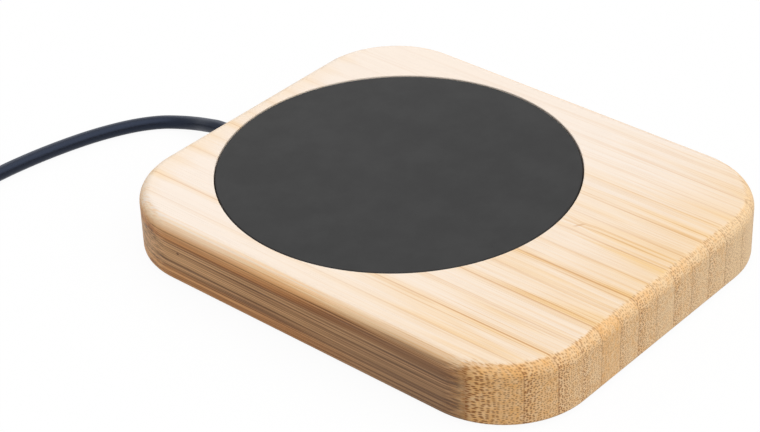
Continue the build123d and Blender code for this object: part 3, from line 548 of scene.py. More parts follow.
@dataclass(frozen=True)
class Coating(Finish):
    """A matte high-temperature coating, faintly clouded."""

    colour: Colour = srgb(36, 36, 36)
    cloud_colour: Colour = srgb(46, 46, 46)

    def paint(self, graph: Graph) -> None:
        """Cloud the colour and give the coating its fine tooth.

        Args:
            graph: The material's nodes.
        """
        cloud = graph.grains(11, 4, 0.62)
        tooth = graph.grains(0.25, 3, 0.7)
        graph.surface(
            tooth, 0.015,
            Base_Color=graph.blend(cloud.rise(0.3, 0.72) * 0.8 + tooth * 0.2, self.colour, self.cloud_colour),
            Roughness=tooth * 0.15 + 0.5,
            Specular_IOR_Level=0.2,
        )


@dataclass(frozen=True)
class Moulded(Finish):
    """Moulded plastic or rubber with a fine spark-eroded texture. Lengths are in millimetres."""

    colour: Colour
    grain: float
    relief: float
    roughness: float
    specular: float = 0.4
    sheen: float = 0.0
    tint: Colour = WHITE

    def paint(self, graph: Graph) -> None:
        """Vary the colour a little and give the surface its grain.

        Args:
            graph: The material's nodes.
        """
        tooth = graph.grains(self.grain, 3, 0.6)
        cloud = graph.grains(self.grain * 25)
        lighter = (*(min(1.0, channel * 1.5 + 0.004) for channel in self.colour[:3]), 1.0)
        graph.surface(
            tooth, self.relief,
            Base_Color=graph.blend(cloud * 0.5 + tooth * 0.25 - 0.1, self.colour, lighter),
            Roughness=tooth * 0.2 + self.roughness - 0.1,
            Specular_IOR_Level=self.specular,
            Sheen_Weight=self.sheen,
            Sheen_Roughness=0.3,
            Sheen_Tint=self.tint,
            Specular_Tint=self.tint,
        )


@dataclass(frozen=True)
class Metal(Finish):
    """Plated or drawn metal with fine marks, drawn out along its direction of working."""

    colour: Colour
    grain: float  # millimetres
    roughness: float
    stretch: Point = (1.0, 1.0, 1.0)

    def paint(self, graph: Graph) -> None:
        """Mark the metal.

        Args:
            graph: The material's nodes.
        """
        marks = graph.grains(self.grain, 3, 0.6, self.stretch)
        darker = (*(channel * 0.8 for channel in self.colour[:3]), 1.0)
        graph.surface(
            marks, 0.006,
            Base_Color=graph.blend(marks, darker, self.colour),
            Metallic=1.0,
            Roughness=marks * 0.2 + self.roughness - 0.1,
        )


@dataclass(frozen=True)
class Woven(Finish):
    """A narrow woven tape with a pile on it."""

    colour: Colour = srgb(22, 22, 24)
    pile_colour: Colour = srgb(48, 49, 53)
    pitch: float = 0.45  # millimetres

    def paint(self, graph: Graph) -> None:
        """Weave the tape and raise its pile.

        Args:
            graph: The material's nodes.
        """
        place = graph.vector(*graph.axes("Object", 1 / (self.pitch * MM)))
        rows = graph.node("TexWave", {}, {"Vector": place, "Scale": 1.0, "Distortion": 2.0}, "Fac")
        pile = graph.grains(self.pitch / 1.6, 3, 0.7)
        graph.surface(
            pile * 0.7 + rows * 0.3, 0.12,
            Base_Color=graph.blend(pile.rise(0.4, 0.65), self.colour, self.pile_colour),
            Roughness=0.85,
            Specular_IOR_Level=0.2,
        )


@dataclass(frozen=True)
class Circuit(Finish):
    """A board's green lacquer over its copper."""

    lacquer: Colour = srgb(22, 92, 52)
    copper: Colour = srgb(58, 132, 74)
    track_pitch: float = 4.2  # millimetres

    def paint(self, graph: Graph) -> None:
        """Draw the tracks under the lacquer.

        Args:
            graph: The material's nodes.
        """
        x, y, _ = graph.axes("Object", 1 / MM)
        tracks = {"feature": "DISTANCE_TO_EDGE", "voronoi_dimensions": "2D"}
        place = graph.vector(x / self.track_pitch, y / self.track_pitch)
        feeds = {"Vector": place, "Scale": 1.0, "Randomness": 0.55}
        track = graph.node("TexVoronoi", tracks, feeds).fall(0.06, 0.1)
        fleck = graph.noise(x * 3, y * 3)
        graph.surface(
            track * 0.8 + fleck * 0.2, 0.03,
            Base_Color=graph.blend(track * 0.8 + fleck * 0.15, self.lacquer, self.copper),
            Roughness=fleck * 0.2 + 0.22,
        )


BAMBOO = Bamboo("bamboo_strips", "bamboo")
PLATE = Coating("matte_grey_coating", "plate_coating")
BOARD = Circuit("green_board", "board")
TAPE = Woven("tie_tape", "tie")
# colour, grain, relief, roughness and for some the specular level
FILM = Moulded("amber_film", "heater_film", srgb(176, 104, 34), 1.2, 0.01, 0.32)
FELT = Moulded("ceramic_felt", "insulation", srgb(222, 219, 208), 0.25, 0.12, 0.95, 0.1)
CARRIER = Moulded("tan_carrier", "carrier_plastic", srgb(176, 164, 140), 0.4, 0.02, 0.5)
COVER = Moulded("black_cover", "cover_plastic", srgb(38, 38, 40), 0.42, 0.05, 0.58)
BLACK_PART = Moulded("black_component", "component_black", srgb(26, 26, 28), 0.15, 0.01, 0.5)
CERAMIC = Moulded("tan_ceramic", "component_ceramic", srgb(178, 142, 98), 0.12, 0.01, 0.45)
PLUNGER = Moulded("white_plunger", "switch_plunger", srgb(226, 224, 216), 0.2, 0.01, 0.45)
SLEEVE = Moulded("red_sleeve", "wire_sleeve", srgb(146, 30, 26), 0.3, 0.01, 0.4)
RUBBER = Moulded("rubber", "rubber_feet", srgb(24, 24, 25), 0.3, 0.05, 0.78, 0.25)
GRIP = Moulded("plug_grip_black", "plug_moulding", srgb(27, 28, 30), 0.3, 0.03, 0.5)
TONGUE = Moulded("white_tongue", "plug_tongue", srgb(228, 228, 224), 0.2, 0.01, 0.4)
JACKET = Moulded(
    "lead_jacket_black", "lead_jacket", srgb(5, 7, 13), 0.6, 0.005, 0.42, 0.48,
    sheen=0.25, tint=srgb(190, 210, 255),
)
# colour, grain, roughness and for some the stretch
TRACK = Metal("etched_track", "heater_track", srgb(190, 176, 160), 0.2, 0.42)
SPRING = Metal("spring_wire", "spring_steel", srgb(184, 187, 192), 0.1, 0.28)
SCREW = Metal("zinc_screws", "screw_steel", srgb(200, 202, 205), 0.2, 0.32)
CUTOFF = Metal("tinned_case", "sensor_case", srgb(206, 204, 196), 0.25, 0.35)
NICKEL = Metal("nickel_shell", "plug_shell", srgb(206, 206, 204), 0.25, 0.24, (1.0, 0.08, 1.0))
GOLD = Metal("gold_contacts", "contacts", srgb(226, 178, 92), 0.15, 0.22, (1.0, 0.1, 1.0))


# ---- mesh forms
class Form:
    """A mesh in the making, with the operations that this object's pieces share."""

    steps_a_turn = 24

    def __init__(self) -> None:
        """Start an empty mesh."""
        self.bm = bmesh.new()

    def turn(self, profile: Iterable[Pair], steps: int, centre: Point) -> Form:
        """Spin a closed profile round an upright axis into a solid.

        Args:
            profile: Points as (radius, height); its ends lie on the axis.
            steps: How many steps go round.
            centre: Where height 0 of the axis is.

        Returns:
            This form.
        """
        others = set(self.bm.verts)
        verts = [self.bm.verts.new((radius, 0.0, height)) for radius, height in profile]
        edges = [self.bm.edges.new(pair) for pair in zip(verts, verts[1:])]
        bmesh.ops.spin(
            self.bm, geom=[*verts, *edges], axis=(0, 0, 1), angle=math.tau, steps=steps, use_merge=True
        )
        made = [v for v in self.bm.verts if v not in others]
        bmesh.ops.translate(self.bm, verts=made, vec=centre)
        return self.close()

    def coil(self, radius: float, wire: float, foot: Point, runs: Sequence[tuple[int, float]]) -> Form:
        """Wind round wire into a spring.

        Args:
            radius: From its axis to the middle of the wire.
            wire: The wire's thickness.
            foot: Where its axis is, at the middle of the wire's lower end.
            runs: Its stretches from the foot up, each as its turns and the rise of one turn.

        Returns:
            This form.
        """
        across = Matrix.Translation((radius, 0, 0)) @ Matrix.Rotation(math.pi / 2, 4, "X")
        ring = bmesh.ops.create_circle(self.bm, segments=10, radius=wire / 2, matrix=across)["verts"]
        ring = [*ring, *{e for v in ring for e in v.link_edges}]
        for turns, rise in runs:
            grown = bmesh.ops.spin(
                self.bm, geom=ring, axis=(0, 0, 1), angle=math.tau * turns,
                steps=turns * self.steps_a_turn, dvec=(0, 0, rise / self.steps_a_turn),
            )
            ring = grown["geom_last"]
        bmesh.ops.holes_fill(self.bm, edges=[e for e in self.bm.edges if e.is_boundary])
        bmesh.ops.translate(self.bm, verts=self.bm.verts, vec=foot)
        return self.close()

    def repeat(self, centre: Point, times: int) -> Form:
        """Repeat what there is round an upright axis.

        Args:
            centre: A point of the axis.
            times: How many times it then stands.

        Returns:
            This form.
        """
        bmesh.ops.spin(
            self.bm, geom=[*self.bm.verts, *self.bm.edges, *self.bm.faces], cent=centre, axis=(0, 0, 1),
            angle=math.tau * (times - 1) / times, steps=times - 1, use_duplicate=True,
        )
        return self

    def close(self) -> Form:
        """Merge what meets and turn every face outwards.

        Returns:
            This form.
        """
        bmesh.ops.remove_doubles(self.bm, verts=self.bm.verts, dist=0.0005 * MM)
        bmesh.ops.recalc_face_normals(self.bm, faces=self.bm.faces)
        return self

    def box(self, low: Sequence[float], high: Sequence[float], corner: float = 0.0, arcs: int = 6) -> Form:
        """Add a box, its upright edges rounded.

        Args:
            low: Its lowest corner.
            high: Its highest corner.
            corner: The rounding's radius.
            arcs: How many faces go round a corner.

        Returns:
            This form.
        """
        size = Vector(high) - Vector(low)
        middle = (Vector(high) + Vector(low)) / 2
        made = bmesh.ops.create_cube(self.bm, size=1.0)["verts"]
        bmesh.ops.scale(self.bm, verts=made, vec=size)
        bmesh.ops.translate(self.bm, verts=made, vec=middle)
        if corner > 0:
            upright = [
                e for e in {e for v in made for e in v.link_edges}
                if abs(e.verts[0].co.z - e.verts[1].co.z) > size.z / 2
            ]
            self.round_edges(upright, corner, arcs)
        return self

    def round_edges(self, edges: Iterable[bmesh.types.BMEdge], radius: float, arcs: int = 3) -> Form:
        """Round these edges.

        Args:
            edges: The edges.
            radius: The rounds' radius.
            arcs: How many faces go round.

        Returns:
            This form.
        """
        bmesh.ops.bevel(
            self.bm, geom=list(edges), offset=radius, offset_type="OFFSET", segments=arcs,
            profile=0.5, affect="EDGES", clamp_overlap=True, material=-1,
        )
        return self

    def level_edges(self, height: float) -> list[bmesh.types.BMEdge]:
        """Find the outline's edges that lie at one height.

        Args:
            height: The height.

        Returns:
            The edges.
        """
        near = 0.001 * MM
        return [
            e for e in self.bm.edges
            if all(abs(v.co.z - height) < near for v in e.verts)
            and any(abs(f.normal.z) < 0.5 for f in e.link_faces)
        ]

    def sharp_edges(self, degrees: float) -> list[bmesh.types.BMEdge]:
        """The edges whose faces meet at more than this angle."""
        limit = math.radians(degrees)
        return [e for e in self.bm.edges if len(e.link_faces) == 2 and e.calc_face_angle() > limit]

    def mesh(self, name: str, smooth_under: float = 35.0) -> bpy.types.Mesh:
        """End the making.

        Args:
            name: The mesh's name.
            smooth_under: Faces that meet at less than this angle, in degrees, are shaded as one.

        Returns:
            The mesh.
        """
        made = bpy.data.meshes.new(name)
        self.bm.normal_update()
        self.bm.to_mesh(made)
        self.bm.free()
        stale = made.attributes.get("custom_normal")
        if stale is not None:
            made.attributes.remove(stale)
        shade(made, smooth_under)
        return made


def shade(mesh: bpy.types.Mesh, smooth_under: float) -> None:
    """Shade faces as one where they meet at less than this angle, in degrees."""
    mesh.shade_smooth()
    mesh.set_sharp_from_angle(angle=math.radians(smooth_under))


def arc(centre: Pair, radius: float, start: float, end: float, steps: int) -> list[Pair]:
    """Points of an arc, first and last included, from one angle in degrees to another."""
    angles = (math.radians(start + (end - start) * n / steps) for n in range(steps + 1))
    return [(centre[0] + radius * math.cos(a), centre[1] + radius * math.sin(a)) for a in angles]


class Body(Enum):
    """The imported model's bodies."""

    BASE = "base"
    PLATE = "plate"
    PLUNGER = "plunger"


def stand(name: str, data: bpy.types.ID) -> bpy.types.Object:
    """Make an object of this data and put it in the scene.

    Args:
        name: The object's name.
        data: What it shows.

    Returns:
        The object.
    """
    made = bpy.data.objects.new(name, data)
    bpy.context.scene.collection.objects.link(made)
    return made


def settle(
    data: bpy.types.Mesh | bpy.types.Curve, finish: Finish, *stands_for: str, body: Body = Body.BASE
) -> bpy.types.Object:
    """Make a piece of a finished mesh or curve.

    Args:
        data: Its mesh or curve, whose name it takes.
        finish: Its finish.
        stands_for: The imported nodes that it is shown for.
        body: The body that it moves with.

    Returns:
        The piece.
    """
    piece = stand(data.name, data)
    data.materials.clear()
    data.materials.append(finish.material())
    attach(piece, body.value)
    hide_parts(*stands_for)
    if piece.type == "MESH":
        piece.modifiers.new("flat_faces_stay_flat", "WEIGHTED_NORMAL").keep_sharp = True
    log.info("%s: rides on %s, finish %s", piece.name, body.value, finish.name)
    return piece


def carve(form: Form, cutters: Iterable[Form], name: str) -> bpy.types.Mesh:
    """Cut other forms out of a form.

    Args:
        form: What is cut.
        cutters: What cuts it.
        name: The mesh's name.

    Returns:
        The mesh that is left.
    """
    raw = stand(name + "_raw", form.mesh(name + "_raw"))
    tools = []
    for number, cutter in enumerate(cutters):
        tool = stand(f"{name}_cutter_{number}", cutter.mesh(f"{name}_cutter_{number}"))
        cut = raw.modifiers.new(tool.name, "BOOLEAN")
        cut.operation, cut.solver, cut.object = "DIFFERENCE", "EXACT", tool
        tools.append(tool)
    graph = bpy.context.evaluated_depsgraph_get()
    made = bpy.data.meshes.new_from_object(raw.evaluated_get(graph))
    for leftover in (raw, *tools):
        bpy.data.objects.remove(leftover)
    made.name = name
    shade(made, 30.0)
    return made


@dataclass(frozen=True)
class Copy:
    """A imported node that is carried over, merged and with small rounds on its edges."""

    node: str
    name: str  # the new piece's
    finish: Finish
    radius: float = 0.12  # the rounds', in millimetres
    body: Body = Body.BASE
    corner_angle: float = 40.0  # degrees, above which an edge is rounded

    def build(self) -> bpy.types.Object:
        """Make the new piece.

        Returns:
            The piece.
        """
        form = Form()
        form.bm.from_mesh(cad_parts[self.node].data)
        bmesh.ops.remove_doubles(form.bm, verts=form.bm.verts, dist=0.001 * MM)
        bmesh.ops.dissolve_limit(
            form.bm, angle_limit=math.radians(1.0), verts=form.bm.verts, edges=form.bm.edges,
            use_dissolve_boundaries=False,
        )
        form.round_edges(form.sharp_edges(self.corner_angle), self.radius * MM, 2)
        return settle(form.mesh(self.name, self.corner_angle), self.finish, self.node, body=self.body)


def dress(node: str, finish: Finish) -> None:
    """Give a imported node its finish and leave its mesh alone.

    Args:
        node: The node's name.
        finish: Its finish.
    """
    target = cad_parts[node]
    for place in target.material_slots:
        place.material = finish.material()
    log.info("%s: kept, finish %s", node, finish.name)


def tube(
    name: str, lines: Iterable[Sequence[Point]], thickness: float, steps: int, roundness: int
) -> bpy.types.Curve:
    """Draw round tubes along smooth lines.

    Args:
        name: The curve's name.
        lines: The points that each line is pulled towards.
        thickness: The tubes' thickness.
        steps: How many steps lie between two points.
        roundness: How finely the tubes are rounded.

    Returns:
        The curve that holds them.
    """
    curve = bpy.data.curves.new(name, "CURVE")
    curve.dimensions = "3D"
    curve.resolution_u, curve.bevel_resolution = steps, roundness
    curve.bevel_depth = thickness / 2
    curve.use_fill_caps = True
    for points in lines:
        line = curve.splines.new("NURBS")
        line.points.add(len(points) - 1)
        for point, place in zip(line.points, points):
            point.co = (*place, 1.0)
        line.order_u = 3
        line.use_endpoint_u = True
    return curve


def give_with_plate(piece: bpy.types.Object, foot: float, head: float) -> None:
    """Give a piece its own copy of its mesh."""
    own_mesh(piece)


# ---- camera, lamps, table
@dataclass
class Studio:
    """The camera, plain soft lamps and a white table that keeps a faint shadow."""

    camera_place: Point = (-333.498 * MM, -278.808 * MM, 294.655 * MM)
    camera_turn: Point = (56.6304, 1.7739, -49.3275)  # degrees
    lens: float = 107.29
    sky: float = 0.45
    # of each lamp: its name, its strength, where it shines from and how wide it looks, in degrees
    lamps: tuple[tuple[str, float, Point, float], ...] = (
        ("key_lamp", 1.7, (0.05, -0.5, 0.85), 80.0),
        ("rim_lamp", 0.4, (0.5, 0.65, 0.57), 40.0),
        ("under_lamp", 1.2, (0.1, -0.1, -1.0), 90.0),
    )
    table_size: float = 6.0
    table_off: float = 0.6  # keeps the diagonal of its one face away from the object
    table_colour: float = 0.5
    shadow_share: float = 0.06

    def build(self) -> None:
        """Make the camera, the lamps, the sky and the table."""
        self._camera()
        self._lamps()
        self._sky()
        self._table()
        bpy.context.scene.view_settings.view_transform = "Standard"

    def _camera(self) -> None:
        """Stand the camera where it sees the plate from the front left."""
        data = bpy.data.cameras.new("camera")
        data.lens, data.sensor_width = self.lens, 36.0
        data.clip_start, data.clip_end = 0.01, 20.0
        camera = stand("camera", data)
        camera.location = self.camera_place
        camera.rotation_euler = [math.radians(turn) for turn in self.camera_turn]
        bpy.context.scene.camera = camera

    def _lamps(self) -> None:
        """Add the sun lamps."""
        for name, strength, come_from, spread in self.lamps:
            data = bpy.data.lights.new(name, "SUN")
            data.energy, data.angle = strength, math.radians(spread)
            stand(name, data).rotation_euler = Vector(come_from).to_track_quat("Z", "Y").to_euler()

    def _seen(self, graph: Graph) -> Socket:
        """1 for rays that show the background: straight, in a reflection or through glass."""
        rays = [graph.node("LightPath", output=f"Is {k} Ray") for k in ("Camera", "Glossy", "Transmission")]
        return (rays[0] + rays[1] + rays[2]).least(1.0)

    def _sky(self) -> None:
        """White where it is seen, plain light elsewhere."""
        world = bpy.data.worlds.new("sky")
        world.use_nodes = True
        bpy.context.scene.world = world
        graph = Graph(world.node_tree)
        background = world.node_tree.nodes["Background"].inputs
        graph.feed(background["Strength"], self._seen(graph) * (1.0 - self.sky) + self.sky)
        graph.feed(background["Color"], WHITE)

    def _table(self) -> None:
        """A table that is white to the eye from above and clear from below."""
        form = Form()
        bmesh.ops.create_grid(form.bm, x_segments=1, y_segments=1, size=self.table_size / 2)
        bmesh.ops.translate(form.bm, verts=form.bm.verts, vec=(self.table_off, 0, 0))
        table = stand("table", form.mesh("table"))
        surface = bpy.data.materials.new("white_table")
        surface.use_nodes = True
        graph = Graph(surface.node_tree)
        grey = (*(self.table_colour,) * 3, 1.0)
        dull, bright = (graph.node("BsdfDiffuse", {}, {"Color": colour}) for colour in (grey, WHITE))
        glow = graph.node("Emission", {}, {"Color": WHITE, "Strength": 1.0})
        shown = graph.node("MixShader", {}, {0: self.shadow_share, 1: glow, 2: bright})
        above = graph.node("MixShader", {}, {0: self._seen(graph), 1: dull, 2: shown})
        clear = graph.node("BsdfTransparent")
        below = graph.node("NewGeometry", output="Backfacing")
        whole = graph.node("MixShader", {}, {0: below, 1: above, 2: clear})
        graph.feed(graph.tree.nodes["Material Output"].inputs["Surface"], whole)
        table.data.materials.append(surface)


# ---- the lead
@dataclass
class Lead:
    """The jacketed lead: its free run, the coil that keeps the rest of it, and the run to the plug."""

    diameter: float = 3.5 * MM
    length: float = 1.036
    centre: Pair = (-64.0 * MM, 129.75 * MM)
    outer_radius: float = 25.75 * MM
    turns: float = 7.25
    points_per_turn: int = 16
    steps_a_layer: int = 3  # each moves the lead sideways by its diameter
    step_turns: float = 0.2
    first_step_in: float = 0.65  # these three in turns from the coil's start
    first_step_out: float = 4.3
    climb_from: float = 3.4
    climb_turns: float = 0.25
    tie_angle: float = 20.0  # degrees, as the two below
    tie_flat: float = 27.0
    tie_slope: float = 33.0
    tie_lift: float = 0.93 * MM
    # the free run, from the boot's tip to where the coil begins
    route: tuple[Point, ...] = (
        (0.0, 0.069, 0.0052), (0.0, 0.0721, 0.0052), (0.0001, 0.0757, 0.0043), (0.0009, 0.0808, 0.0026),
        (-0.0004, 0.086, 0.00175), (-0.0037, 0.0904, 0.00175), (-0.0103, 0.0951, 0.00175),
        (-0.021, 0.0995, 0.00175), (-0.0358, 0.1029, 0.00175), (-0.05, 0.1043, 0.00175),
        (-0.064, 0.104, 0.00175),
    )
    # from the coil to the plug
    tail: tuple[Point, ...] = (
        (-0.08975, 0.12975, 0.00525), (-0.08975, 0.13475, 0.00525),
        (-0.08975, 0.14075, 0.0038), (-0.08975, 0.14575, 0.0038),
    )

    def _steps_behind(self, turn: float, first: float) -> float:
        """How many of a layer's sideways steps lie behind this turn, where the first step begins at first."""
        return sum(_smooth((turn - first - n) / self.step_turns) for n in range(self.steps_a_layer))

    def _coil(self) -> list[Point]:
        """Wind the coil: inwards on the table, up, and outwards again on top.

        Returns:
            Its points.
        """
        points = []
        hold = math.cos(math.pi / self.points_per_turn)
        for number in range(1, round(self.turns * self.points_per_turn)):
            turn = number / self.points_per_turn
            inwards = self._steps_behind(turn, self.first_step_in)
            outwards = self._steps_behind(turn, self.first_step_out)
            radius = (self.outer_radius - self.diameter * (inwards - outwards)) / hold
            climb = _smooth((turn - self.climb_from) / self.climb_turns)
            angle = -90.0 - 360.0 * turn
            from_tie = abs((angle - self.tie_angle + 180.0) % 360.0 - 180.0)
            lift = self.tie_lift * (1.0 - _smooth((from_tie - self.tie_flat) / self.tie_slope))
            points.append((
                self.centre[0] + radius * math.cos(math.radians(angle)),
                self.centre[1] + radius * math.sin(math.radians(angle)),
                self.diameter * (0.5 + climb) + lift,
            ))
        return points

    def build(self) -> bpy.types.Object:
        """Lay the lead out as one smooth line."""
        curve = tube("power_cord", [[*self.route, *self._coil(), *self.tail]], self.diameter, 6, 5)
        return settle(curve, JACKET, "cord_lead", "cord_coil", "cord_tail")


def _smooth(share: float) -> float:
    """A smooth step from 0 to 1 as the share goes from 0 to 1."""
    share = min(max(share, 0.0), 1.0)
    return share * share * (3.0 - 2.0 * share)


# ---- the slab
@dataclass
class Slab:
    """The bamboo body with its pocket, well, cover recess, slot and screw holes."""

    corner: float = 21.5 * MM
    top_round: float = 3.0 * MM
    bottom_round: float = 1.0 * MM
    pocket_gap: float = 0.25 * MM
    pocket_edge: float = 0.22 * MM
    ledge_drop: float = 2.6 * MM  # from the plate's underside to the ledge that it can sink to
    well_radius: float = 38.0 * MM
    cover_thickness: float = 1.8 * MM
    cover_gap: float = 0.15 * MM
    cover_corner: float = 15.65 * MM
    slot_width: float = 7.0 * MM
    slot_axis: float = 5.2 * MM
    slot_depth: float = 13.5 * MM
    hole_radius: float = 1.5 * MM
    hole_end: float = 11.8 * MM
    screw_head: float = 5.4 * MM
    beyond: float = 1.0 * MM  # how far the cutters stand out of what they cut

    def build(self) -> None:
        """Shape the slab and cut it."""
        low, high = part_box("bamboo_slab")
        slab = Form().box(low, high, self.corner, 28)
        slab.round_edges(slab.level_edges(high.z), self.top_round, 10)
        slab.round_edges(slab.level_edges(low.z), self.bottom_round, 4)
        cutters = [self._pocket(low, high), self._recess(low), self._slot(low, high), *self._holes()]
        settle(carve(slab.close(), cutters, "bamboo_body"), BAMBOO, "bamboo_slab")

    def _pocket(self, low: Vector, high: Vector) -> Form:
        """Shape what the plate's pocket and the well below it take away.

        Args:
            low: The slab's lowest corner.
            high: Its highest corner.

        Returns:
            The cutter.
        """
        plate_low, plate_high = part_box("heating_plate")
        centre = (plate_low + plate_high) / 2
        radius = (plate_high.x - plate_low.x) / 2 + self.pocket_gap
        ledge = plate_low.z - self.ledge_drop
        edge = arc((radius + self.pocket_edge, high.z - self.pocket_edge), self.pocket_edge, 90, 180, 4)
        above, below = high.z + self.beyond, low.z - self.beyond
        profile = [
            (0.0, above), (radius + self.pocket_edge, above), *edge, (radius, ledge),
            (self.well_radius, ledge), (self.well_radius, below), (0.0, below),
        ]
        return Form().turn(profile, 180, (centre.x, centre.y, 0.0))

    def _recess(self, low: Vector) -> Form:
        """Shape what the cover's recess takes away.

        Args:
            low: The slab's lowest corner.

        Returns:
            The cutter.
        """
        cover_low, cover_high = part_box("base_cover")
        across = cover_high.x + self.cover_gap
        along = self.cover_gap - cover_low.y
        bottom, top = low.z - self.beyond, low.z + self.cover_thickness
        return Form().box((-across, -along, bottom), (across, along, top), self.cover_corner, 16)

    def _slot(self, low: Vector, high: Vector) -> Form:
        """Shape what the lead's slot takes away.

        Args:
            low: The slab's lowest corner.
            high: Its highest corner.

        Returns:
            The cutter.
        """
        half = self.slot_width / 2
        slot = Form().box(
            (-half, high.y - self.slot_depth, low.z - self.beyond),
            (half, high.y + self.beyond, self.slot_axis + half),
        )
        top = [
            e for e in slot.level_edges(self.slot_axis + half)
            if abs(e.verts[0].co.y - e.verts[1].co.y) > half
        ]
        return slot.round_edges(top, half * 0.98, 10)

    def _holes(self) -> list[Form]:
        """Shape what the cover screws' holes take away.

        Returns:
            The cutters.
        """
        low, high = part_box("cover_screws")
        inset = (high.x - low.x - self.screw_head) / 2
        far = (high.y - low.y - self.screw_head) / 2
        radius, end = self.hole_radius, self.hole_end
        profile = [(0.0, end), (radius, end), (radius, 0.0), (0.0, 0.0)]
        return [Form().turn(profile, 20, (x, y, 0.0)) for x in (-inset, inset) for y in (-far, far)]


# ---- the heating plate
@dataclass
class HeatingPlate:
    """The coated plate and what is bonded below it."""

    edge_round: float = 0.35 * MM
    foot_cut: float = 0.1 * MM
    pieces: tuple[Copy, ...] = (
        Copy("plate_carrier", "carrier_dish", CARRIER, body=Body.PLATE),
        Copy("temperature_sensor", "sensor_bead", CERAMIC, body=Body.PLATE),
        Copy("thermal_cutoff", "cutoff_case", CUTOFF, body=Body.PLATE),
    )

    def build(self) -> None:
        """Turn the plate and dress what lies under it."""
        low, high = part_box("heating_plate")
        centre = (low + high) / 2
        radius = (high.x - low.x) / 2
        edge = arc((radius - self.edge_round, high.z - self.edge_round), self.edge_round, 90, 0, 5)
        foot = [(radius, low.z + self.foot_cut), (radius - self.foot_cut, low.z)]
        profile = [(0.0, high.z), *edge, *foot, (0.0, low.z)]
        disc = Form().turn(profile, 180, (centre.x, centre.y, 0.0))
        settle(disc.mesh("plate_disc", 50.0), PLATE, "heating_plate", body=Body.PLATE)
        for node, finish in (("heater_film", FILM), ("heater_track", TRACK), ("insulation_pad", FELT)):
            dress(node, finish)
        for piece in self.pieces:
            piece.build()


@dataclass
class Springs:
    """The three springs between the cover and the carrier, their end turns closed."""

    ring_radius: float = 26.0 * MM
    first_at: float = 60.0  # degrees
    wire: float = 0.5 * MM
    ends: Pair = (2.8 * MM, 10.3 * MM)  # heights of the foot and the head
    open_turns: int = 3

    def build(self) -> None:
        """Wind the springs and give them their own copy of their mesh."""
        low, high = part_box("heating_plate")
        centre = ((low.x + high.x) / 2, (low.y + high.y) / 2, 0.0)
        spring_low, spring_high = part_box("carrier_springs")
        angle = math.radians(self.first_at)
        # one spring stands at 180 degrees and reaches furthest to -X
        radius = centre[0] - self.ring_radius - spring_low.x - self.wire / 2
        place = (
            centre[0] + self.ring_radius * math.cos(angle),
            centre[1] + self.ring_radius * math.sin(angle),
            spring_low.z + self.wire / 2,
        )
        rise = spring_high.z - spring_low.z - self.wire
        open_rise = (rise - 2 * self.wire) / self.open_turns
        runs = [(1, self.wire), (self.open_turns, open_rise), (1, self.wire)]
        form = Form().coil(radius, self.wire, place, runs).repeat(centre, 3)
        give_with_plate(settle(form.mesh("wound_springs"), SPRING, "carrier_springs"), *self.ends)


@dataclass
class Wires:
    """A pair of sleeved wires, one each side of the middle."""

    name: str
    node: str
    thickness: float
    route: tuple[Point, ...]
    ends: Pair | None = None  # heights of the foot and the head, where the head is on the plate

    def build(self) -> None:
        """Lay the wires, and give those that end on the plate their own copy of their mesh."""
        lines = [[(side * x, y, z) for x, y, z in self.route] for side in (-1, 1)]
        curve = tube(self.name + "_lines", lines, self.thickness, 8, 2)
        holder = bpy.data.objects.new(curve.name, curve)
        form = Form()
        form.bm.from_mesh(bpy.data.meshes.new_from_object(holder))
        bpy.data.objects.remove(holder)
        wires = settle(form.close().mesh(self.name), SLEEVE, self.node)
        if self.ends is not None:
            give_with_plate(wires, *self.ends)


HEATER_WIRES = Wires(
    "heater_wires", "heater_leads", 1.0 * MM,
    (
        (0.0029, 0.0032, 0.01335), (0.0029, 0.0032, 0.011), (0.0029, 0.0032, 0.0096),
        (0.0036, 0.000983, 0.0082), (0.0036, 0.000983, 0.00605),
    ),
    (6.0 * MM, 13.35 * MM),
)
SENSOR_WIRES = Wires(
    "sensor_wires", "sensor_leads", 0.6 * MM,
    (
        (0.0005, 0.01225, 0.0128), (0.0005, 0.0036, 0.0128), (0.0005, 0.002, 0.0128),
        (0.0005, 0.002, 0.011), (0.0005, 0.002, 0.0096), (0.0005, 0.000983, 0.0082),
        (0.0005, 0.000983, 0.00605),
    ),
    (6.0 * MM, 12.8 * MM),
)
POWER_WIRES = Wires(
    "power_wires", "power_leads", 1.1 * MM,
    (
        (0.0008, 0.03925, 0.0052), (0.0008, 0.0371, 0.0052),
        (0.0032, 0.031017, 0.0066), (0.0032, 0.026417, 0.0066),
    ),
)


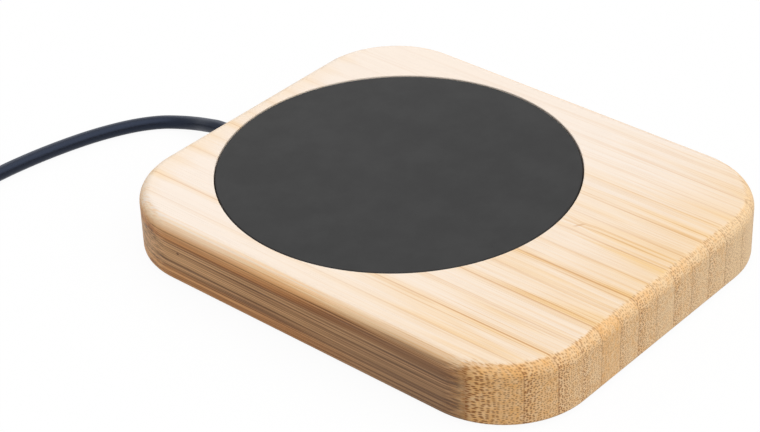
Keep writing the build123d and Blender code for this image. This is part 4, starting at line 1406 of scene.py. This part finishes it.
# ---- inside and underside
@dataclass
class Underside:
    """The cover, its feet and screws, and what stands on it."""

    foot_radius: float = 5.0 * MM
    foot_edge: float = 0.45 * MM
    covers: tuple[Copy, ...] = (
        Copy("base_cover", "bottom_cover", COVER, 0.15),
        Copy("cover_screws", "bottom_screws", SCREW, 0.08),
    )
    inside: tuple[Copy, ...] = (
        Copy("control_board", "circuit_board", BOARD, 0.08),
        Copy("board_screws", "board_fixings", SCREW, 0.08),
        Copy("switch_body", "switch_case", BLACK_PART, 0.08),
        Copy("switch_plunger", "switch_button", PLUNGER, 0.1, Body.PLUNGER),
        Copy("controller_chip", "chip_package", BLACK_PART, 0.02),
        Copy("power_transistor", "transistor_package", BLACK_PART, 0.08),
        Copy("capacitors", "ceramic_capacitors", CERAMIC, 0.08),
        Copy("resistors", "chip_resistors", BLACK_PART, 0.05),
        Copy("cord_clamp", "lead_clamp", COVER),
        Copy("clamp_screws", "clamp_fixings", SCREW, 0.08),
    )

    def _feet(self) -> None:
        """Four round pads with rolled edges."""
        low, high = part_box("feet")
        radius = self.foot_radius
        edge = arc((radius - self.foot_edge, low.z + self.foot_edge), self.foot_edge, -90, 0, 5)
        profile = [(0.0, low.z), *edge, (radius, high.z), (0.0, high.z)]
        form = Form()
        for x in (low.x + radius, high.x - radius):
            for y in (low.y + radius, high.y - radius):
                form.turn(profile, 48, (x, y, 0.0))
        settle(form.mesh("rubber_pads"), RUBBER, "feet")

    def build(self) -> None:
        """Make the underside's pieces and those on the board."""
        for piece in self.covers:
            piece.build()
        self._feet()
        for piece in self.inside:
            piece.build()


# ---- gland, tie and plug
@dataclass
class LeadEnds:
    """What the lead leaves the slab by, the tie on its coil and the plug on its end."""

    pieces: tuple[Copy, ...] = (
        Copy("cord_gland", "strain_relief", JACKET, 0.15),
        Copy("cord_tie", "coil_tie", TAPE, 0.2),
        Copy("plug_grip", "plug_handle", GRIP, 0.25),
        Copy("plug_shell", "plug_sleeve", NICKEL, 0.06),
        Copy("plug_tongue", "plug_tab", TONGUE, 0.1),
        Copy("plug_contacts", "plug_strips", GOLD, 0.04),
    )

    def build(self) -> list[bpy.types.Object]:
        """Make the pieces that go with the lead."""
        dress("cord_entry", JACKET)
        return [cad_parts["cord_entry"], *(piece.build() for piece in self.pieces)]


def main() -> None:
    """Build the object from the camera outwards."""
    logging.basicConfig(level=logging.INFO, format="%(message)s")
    Studio().build()
    lead = Lead()
    cord = lead.build()
    Slab().build()
    HeatingPlate().build()
    Springs().build()
    for wires in (HEATER_WIRES, SENSOR_WIRES, POWER_WIRES):
        wires.build()
    Underside().build()
    ends = LeadEnds().build()
    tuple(lead.route[0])


if __name__ == "__main__":
    main()
